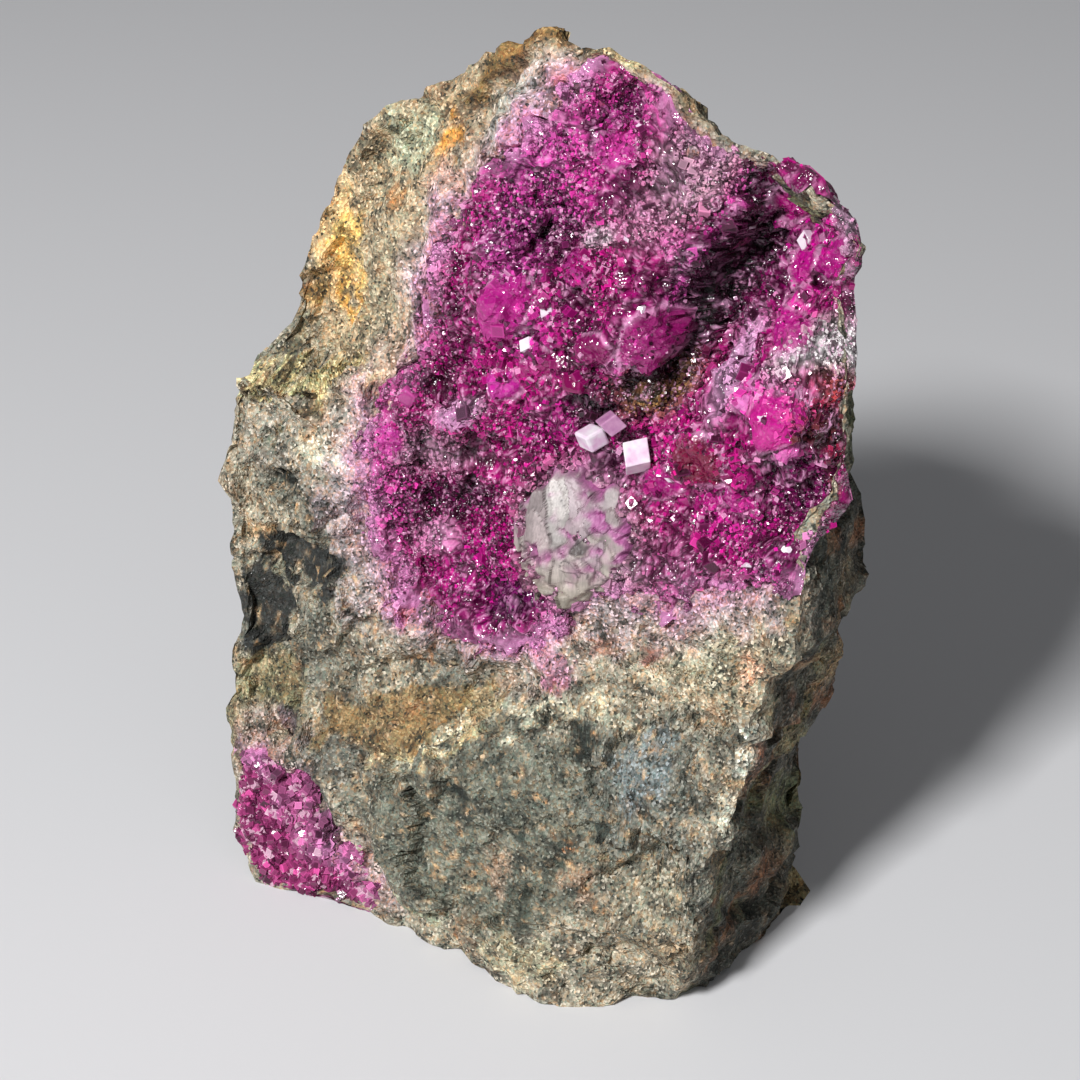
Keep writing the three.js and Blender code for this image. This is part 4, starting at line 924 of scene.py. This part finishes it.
def makeBed(name, inside, node, outline, base, random):
    # the crust: lumps, two sizes of intergrown crystals and its hollows, dipping under the rock at its edge
    used, triangles, floor, near, into, deep, limit, rim = finePatch(inside, -0.7, random, hollows, backY, toRim)
    floor = floor + into * (deep * smooth(near, -0.3, 1.2))[:, None]
    floor[:, 1] = np.minimum(floor[:, 1], limit - 3)
    out = pointNormals(floor, triangles)
    shift = np.stack([facets(floor, 2.2, seed) for seed in (151, 153, 157)], -1) * 0.5
    bigRise, *bigCells = crust["bigCrystals"]
    smallRise, *smallCells = crust["smallCrystals"]
    big, bigGap, bigRidge, bigMark = intergrown(floor + shift, out, *bigCells)
    small, smallGap, smallRidge, smallMark = intergrown(floor + shift, out, *smallCells)
    glassy = glassiness(floor)
    domeX, domeZ = floor[:, 0] + shift[:, 0] * 0.4, floor[:, 2] + shift[:, 1] * 0.4
    domes = [(featureShare(domeX, domeZ, dome), dome[5], dome[6]) for dome in druse["domes"]]
    calm = functools.reduce(np.maximum, [share for share, _, _ in domes])
    rise = functools.reduce(np.maximum, [share * height for share, height, _ in domes])
    height = 0.1 + facetSum(floor, crust["lumps"]) * (1 - 0.4 * calm)
    height += (bigRise * big + (smallRise - 0.35 * glassy) * small) * (1 - 0.3 * calm) + rise
    height -= 1.3 * (1 - smooth(near, -0.7, 1.4))
    height = np.maximum(height, -0.25 - 0.2 * np.abs(rim))
    points = floor + out * height[:, None]
    points[:, 2] = np.maximum(points[:, 2], 0.02)
    # tone: its zone, times a number for each crystal, with painted shade deep in the seams and a painted highlight
    # on the ridges
    x, z = floor[:, 0] + shift[:, 0], floor[:, 2] + shift[:, 1]
    broad = smooth(facets(floor, 5.0, 181), -0.4, 0.4)
    seamShade = 1 - smooth(np.minimum(smallGap * 1.4, bigGap), 0.02, 0.3)
    ridge = (1 - smooth(np.minimum(smallRidge * 1.3, bigRidge), 0.03, 0.24)) * (1 - seamShade) * (0.3 + 0.6 * smallMark)
    tone = paintDruse(x, z, base) * (0.3 + 0.7 * broad + 0.6 * bigMark + 0.5 * smallMark)[:, None]
    tone = blend(tone * (1 - druse["seamShade"] * seamShade)[:, None], druse["ridge"], ridge)
    for share, _, code in domes:
        tone = blend(tone, code, 0.85 * smooth(share, 0.35, 0.75))
        # a painted highlight round each dome's rim
        tone = blend(tone, druse["domeRimHighlight"], 0.6 * smooth(share, 0.08, 0.25) * (1 - smooth(share, 0.3, 0.6)))
    tone = fadedEdge(capped(tone), insideDistance(x, z, outline), floor)
    tone = np.column_stack([tone, np.maximum(glassy, 0.8 * calm)])
    # thin where the crust comes to the rim, so that it keeps inside the wall
    thick = np.minimum(crust["shell"], 0.35 + 0.35 * np.abs(rim)) * np.where(rim < 0, 0.5, 1)
    shown = merged(triangles, thinnedColumns(used))
    solid, faces, tone = closedShell(used, points, shown, -into, thick[:, None], tone)
    linkPiece(name, meshOf(name, solid, faces, tone), bedMaterial, [node])
    print(name, "made:", len(faces), "triangles")
    return points, triangles, pointNormals(points, triangles), near


def crystalShape(steps, power):
    # a cube of steps by steps squares a face, rounded with p / (|x|^n + |y|^n + |z|^n)^(1/n), then stood
    # on one corner along z; the map runs from 0 to 1 over each face
    line = np.linspace(-0.5, 0.5, steps + 1)
    u, v = np.meshgrid(line, line, indexing="ij")
    numbers = np.arange((steps + 1) ** 2).reshape(steps + 1, steps + 1)
    squares = np.stack([numbers[:-1, :-1], numbers[1:, :-1], numbers[1:, 1:], numbers[:-1, 1:]], -1).reshape(-1, 4)
    points, faces = [], []
    for axis in range(3):
        for sign in (-0.5, 0.5):
            face = np.full((u.size, 3), sign)
            face[:, (axis + 1) % 3], face[:, (axis + 2) % 3] = u.ravel(), v.ravel()
            faces.append((squares if sign > 0 else squares[:, ::-1]) + len(points) * u.size)
            points.append(face)
    points, faces = np.concatenate(points), np.concatenate(faces)
    faceMap = np.tile(np.stack([u.ravel() + 0.5, v.ravel() + 0.5], -1), (6, 1))[faces]
    points, where = np.unique(points.round(6), axis=0, return_inverse=True)
    faces = where.ravel()[faces]
    if power:
        points = 0.5 * points / ((np.abs(points) ** power).sum(1) ** (1 / power))[:, None]
    up = np.ones(3) / np.sqrt(3)
    side = np.array([1, -1, 0]) / np.sqrt(2)
    return points @ np.stack([side, np.cross(up, side), up], -1), faces, faceMap


plainShape, roundShape = crystalShape(1, 0), crystalShape(3, 7)


def seatsOn(bed, weight, count, random):
    # random places on the bed's triangles, as likely as their area times weight, with the way out there
    points, triangles, ways, near = bed
    _, area = faceNormals(points, triangles)
    chance = area * weight(points[triangles].mean(1), near[triangles].mean(1))
    picked = triangles[random.choice(len(triangles), count, p=chance / chance.sum())]
    a, b = random.random((2, count))
    a, b = np.where(a + b > 1, 1 - a, a), np.where(a + b > 1, 1 - b, b)
    share = np.stack([1 - a - b, a, b], -1)[..., None]
    return (points[picked] * share).sum(1), (ways[picked] * share).sum(1)


def seatsAt(bed, places):
    # the bed's points nearest to the given x and z, with the way out there
    picked = [np.argmin(np.hypot(bed[0][:, 0] - x, bed[0][:, 2] - z)) for x, z, *_ in places]
    return bed[0][picked], bed[2][picked]


def makeCrystals(name, seats, ways, edges, tones, material, random, shape=plainShape, squeeze=(0.55, 1.0),
                 tilt=0.7, stand=0.1, slotName="magenta_calcite"):
    # each crystal's long axis is the way out plus a random tilt; corner = seat + edge * (i a + j b + k q c)
    count = len(seats)
    corner, shapeFaces, faceMap = shape
    c = unit(ways + random.normal(size=(count, 3)) * tilt * random.random(count)[:, None])
    a = unit(np.cross(c, random.normal(size=(count, 3))))
    b = np.cross(c, a)
    q = random.uniform(*squeeze, count)
    axes = np.stack([a, b, c * q[:, None]], 1)
    places = seats + ways * (edges * stand)[:, None]
    points = (places[:, None] + (corner @ axes) * edges[:, None, None]).reshape(-1, 3)
    faces = (np.arange(count)[:, None, None] * len(corner) + shapeFaces[None]).reshape(-1, 4)
    points[:, 2] = np.maximum(points[:, 2], 0.01)
    mesh = meshOf(name, points, faces, np.repeat(tones, len(corner), 0),
                  np.tile(faceMap.reshape(-1, 2), (count, 1)), shape is roundShape)
    print(name, "made:", count)
    return linkPiece(name, mesh, material)


def seatTones(seats, base, outline):
    x, z = seats[:, 0], seats[:, 2]
    return fadedEdge(paintDruse(x, z, base), insideDistance(x, z, outline), seats)


def crystalTones(seats, random, spread=0.4, pale=0.07, dark=0.24):
    tones = seatTones(seats, druse["base"], crust["outline"])
    tones = tones * np.exp(random.normal(0.1, spread, len(seats)))[:, None]
    pick = random.random(len(seats))
    tones = np.where((pick < pale)[:, None], tones * 0.4 + linear(druse["palest"]) * 0.6, tones)
    tones = np.where((pick > 1 - dark)[:, None], tones * 0.12 + linear(druse["darkest"]), tones)
    return capped(tones)


def timesFeatures(value, x, z, features):
    # value * (1 + (factor - 1) * share) for each feature
    for feature in features:
        value = value * (1 + (feature[5] - 1) * featureShare(x, z, feature))
    return value


def vugWeight(places, near):
    weight = timesFeatures(smooth(near, -0.4, 1.2), places[:, 0], places[:, 2], druse["bare"])
    return weight * (1 - 0.93 * glassiness(places)) + 1e-6


def largeWeight(places, near):
    return vugWeight(places, near) * smooth(near, 1.2, 3.0) + 1e-9


def cornerWeight(places, near):
    return smooth(near, -0.5, 0.8) + 1e-6


rng = np.random.default_rng(druse["seed"])
vugBed = makeBed("vug_bed", vugInside, "vug_druse", crust["outline"], druse["base"], rng)
cornerBed = makeBed("corner_bed", cornerInside, "corner_druse", crust["corner"], druse["corner"], rng)

for name, count, low, high, material, stand in druse["layers"]:
    seats, ways = seatsOn(vugBed, largeWeight if low > 0.5 else vugWeight, count, rng)
    edges = low + (high - low) * rng.random(count) ** 1.6
    edges = edges * timesFeatures(np.ones(count), seats[:, 0], seats[:, 2], druse["sizes"])
    makeCrystals(name, seats, ways, edges, crystalTones(seats, rng), material, rng, stand=stand)

# rounded crystals that stand out, first the ones that are placed and then some at random
placed = druse["placed"]
seats, ways = seatsOn(vugBed, largeWeight, druse["rounded"], rng)
tones = np.concatenate([[linear(code) for *_, code in placed], crystalTones(seats, rng, 0.25, 0.1, 0.1)])
edges = np.concatenate([[edge for _, _, edge, _ in placed], rng.uniform(0.8, 1.4, druse["rounded"])])
seats, ways = (np.concatenate(pair) for pair in zip(seatsAt(vugBed, placed), (seats, ways)))
makeCrystals("vug_crystals_rounded", seats, ways, edges, tones, largeCalcite, rng, roundShape, (0.5, 0.8),
             0.4, -0.45)

# white slivers where glints show: painted highlights
glintSlivers = np.array(druse["glintSlivers"])
makeCrystals("painted_glint_slivers", *seatsAt(vugBed, glintSlivers), glintSlivers[:, 2], np.ones((len(glintSlivers), 3)), paleMaterial,
             rng, plainShape, (0.2, 0.5), 0.9, -0.05, "pale_rhomb")

count = druse["cornerCount"]
seats, ways = seatsOn(cornerBed, cornerWeight, count, rng)
edges = 0.25 + 0.6 * rng.random(count) ** 1.8
tones = seatTones(seats, druse["corner"], crust["corner"])
tones = capped(tones * np.exp(rng.normal(0.0, 0.6, count))[:, None])
tones = np.where((rng.random(count) < 0.14)[:, None], linear(druse["cornerPale"]) * 0.9, tones)
makeCrystals("corner_crystals", seats, ways, edges, tones, smallCalcite, rng)


def softened(node, name, width, material):
    # the solid's own mesh, its doubles merged and its edges rounded
    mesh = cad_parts[node].data.copy()
    mesh.name = name
    piece = linkPiece(name, mesh, material, [node])
    piece.modifiers.new("weld", "WELD").merge_threshold = 0.01 * mm
    soften = piece.modifiers.new("edges", "BEVEL")
    soften.width = width * mm
    soften.segments = 2
    soften.limit_method = "ANGLE"
    soften.angle_limit = np.radians(20)


softened("rhomb_left", "rhomb_left_crystal", 0.25, paleMaterial)
softened("rhomb_right", "rhomb_right_crystal", 0.08, paleMaterial)
softened("rhomb_back", "rhomb_back_crystal", 0.12, pinkMaterial)

spar = {
    # the mass of colourless calcite: middle, half-lengths and turn; its plates fan out below a point
    "middle": (9.3, 42.6, 6.0, 6.6, 15), "point": (4.6, 52.5), "plate": 2.6, "rise": 0.65, "height": 0.3,
    "shell": 1.6, "seed": 8,
    # cream, grey-lilac and nearly white plates; stained and shaded edges
    "tones": ["#cfc4bc", "#c0acb2", "#dcd4d0", "#c8bab8", "#b8a8a8"],
    "crack": "#3c3034", "stain": "#b45c9c", "low": "#a8a08c",
}


def plates(u, v, seed):
    # nearest of the jittered cells: its tilted plane, the gap to the next nearest, and a number for it
    first, second = np.full(len(u), 9.0), np.full(len(u), 9.0)
    plane, mark = np.zeros(len(u)), np.zeros(len(u))
    for step in np.ndindex(3, 3):
        i, j = np.floor(u) + step[0] - 1, np.floor(v) + step[1] - 1
        n = [cellNumber(i, j, 0 * i, seed + k) for k in range(6)]
        du, dv = u - i - n[0], v - j - n[1]
        d = np.hypot(du, dv)
        wins = d < first
        second = np.where(wins, first, np.minimum(second, d))
        plane = np.where(wins, n[2] - 0.5 + (n[3] - 0.5) * 0.8 * du + (n[4] - 0.7) * 0.7 * dv, plane)
        mark = np.where(wins, n[5], mark)
        first = np.minimum(first, d)
    return plane, second - first, mark


def makeSpar(random):
    # surface + out * (height + rise * plane), over cells drawn out along the way from the fan's point
    share = featureShare(warpX + 4 * facets(surface, 3.0, 263), warpZ + 4 * facets(surface, 3.0, 265),
                         (*spar["middle"], 0.5))
    inside = (share - 0.5) * 5 + facets(surface, 1.1, 267) * 1.6 - onWall * 9
    used, triangles, base, near, into = finePatch(inside, -1.0, random)
    awayX, awayZ = base[:, 0] - spar["point"][0], base[:, 2] - spar["point"][1]
    bend = facets(base, 3.0, 251) * 0.35
    across = np.arctan2(awayX, -awayZ) * 10 / spar["plate"] + bend
    along = np.hypot(awayX, awayZ) / (spar["plate"] * 2.4) + bend
    plane, gap, mark = plates(across, along, spar["seed"])
    finePlane, _, fineMark = plates(across * 2.6, along * 2.2, spar["seed"] + 20)
    height = spar["height"] + spar["rise"] * (plane + 0.3 * finePlane) - 1.9 * (1 - smooth(near, -1.0, 2.4))
    tones = np.array([linear(code) for code in spar["tones"]])[(mark * 4.99).astype(int)]
    tones = tones * (0.52 + 0.4 * fineMark)[:, None]
    tones = blend(tones, spar["low"], 0.6 * smooth(-awayZ, 9, 15))
    stained = 1 - smooth(near + 1.5 * facets(base, 1.6, 253) - awayX * 0.12, 0.0, 2.3)
    tones = blend(tones, spar["stain"], 0.9 * stained * (1 - smooth(-awayZ, 10, 15)))
    # a few long cracks down the fan, broken off here and there, and faint joints between the plates
    waves = np.abs(np.sin(np.pi * (across * 0.55 + 0.5 * facets(base, 2.6, 261))))
    cracks = (1 - smooth(waves, 0.02, 0.09)) * smooth(facets(base, 2.8, 269), -0.05, 0.15) * 0.8
    tones = blend(tones, spar["crack"], np.maximum(cracks, (1 - smooth(gap, 0.02, 0.09)) * 0.35))
    points = base - into * height[:, None]
    solid, faces, tones = closedShell(used, points, triangles, -into, spar["shell"], tones)
    mesh = meshOf("spar_mass", solid, faces, tones)
    linkPiece("spar_mass", mesh, clearMaterial, ["spar"])
    print("spar mass made:", len(faces), "triangles")


makeSpar(rng)

# lights aimed above the foot, in metres: azimuth, elevation, distance, size and watts
studio = {"floor": "#dcdcde", "sky": "#eef0f4", "skyPower": 0.13, "aimHeight": 0.04,
          "lights": {"key": (0, 41, 0.8, 0.12, 7.9), "fill": (60, 50, 1.0, 0.8, 0.5)}}
floorMesh = bpy.data.meshes.new("floor")
floorMesh.from_pydata([(-3, -3, 0), (3, -3, 0), (3, 3, 0), (-3, 3, 0)], [], [(0, 1, 2, 3)])
floor = bpy.data.objects.new("floor", floorMesh)
bpy.context.scene.collection.objects.link(floor)
# matt painted board, with no pattern
floorMaterial, add = newMaterial("matt_floor")
add("OutputMaterial", {"Surface": add("BsdfPrincipled", {"Base Color": (*linear(studio["floor"]), 1),
                                                         "Roughness": 0.7})[0]})
floorMesh.materials.append(floorMaterial)

for name, (azimuth, elevation, distance, size, power) in studio["lights"].items():
    light = bpy.data.lights.new(name, "AREA")
    light.size = size
    light.energy = power
    lamp = bpy.data.objects.new(name, light)
    bpy.context.scene.collection.objects.link(lamp)
    away = directionOf(azimuth, elevation)
    lamp.location = away * distance + Vector((0, 0, studio["aimHeight"]))
    lamp.rotation_mode = "QUATERNION"
    lamp.rotation_quaternion = away.to_track_quat("Z", "Y")

world = bpy.data.worlds.new("studio")
world.use_nodes = True
background = world.node_tree.nodes["Background"].inputs
background["Color"].default_value = (*linear(studio["sky"]), 1)
background["Strength"].default_value = studio["skyPower"]
bpy.context.scene.world = world
bpy.context.scene.view_settings.view_transform = "Standard"
print("stage set")
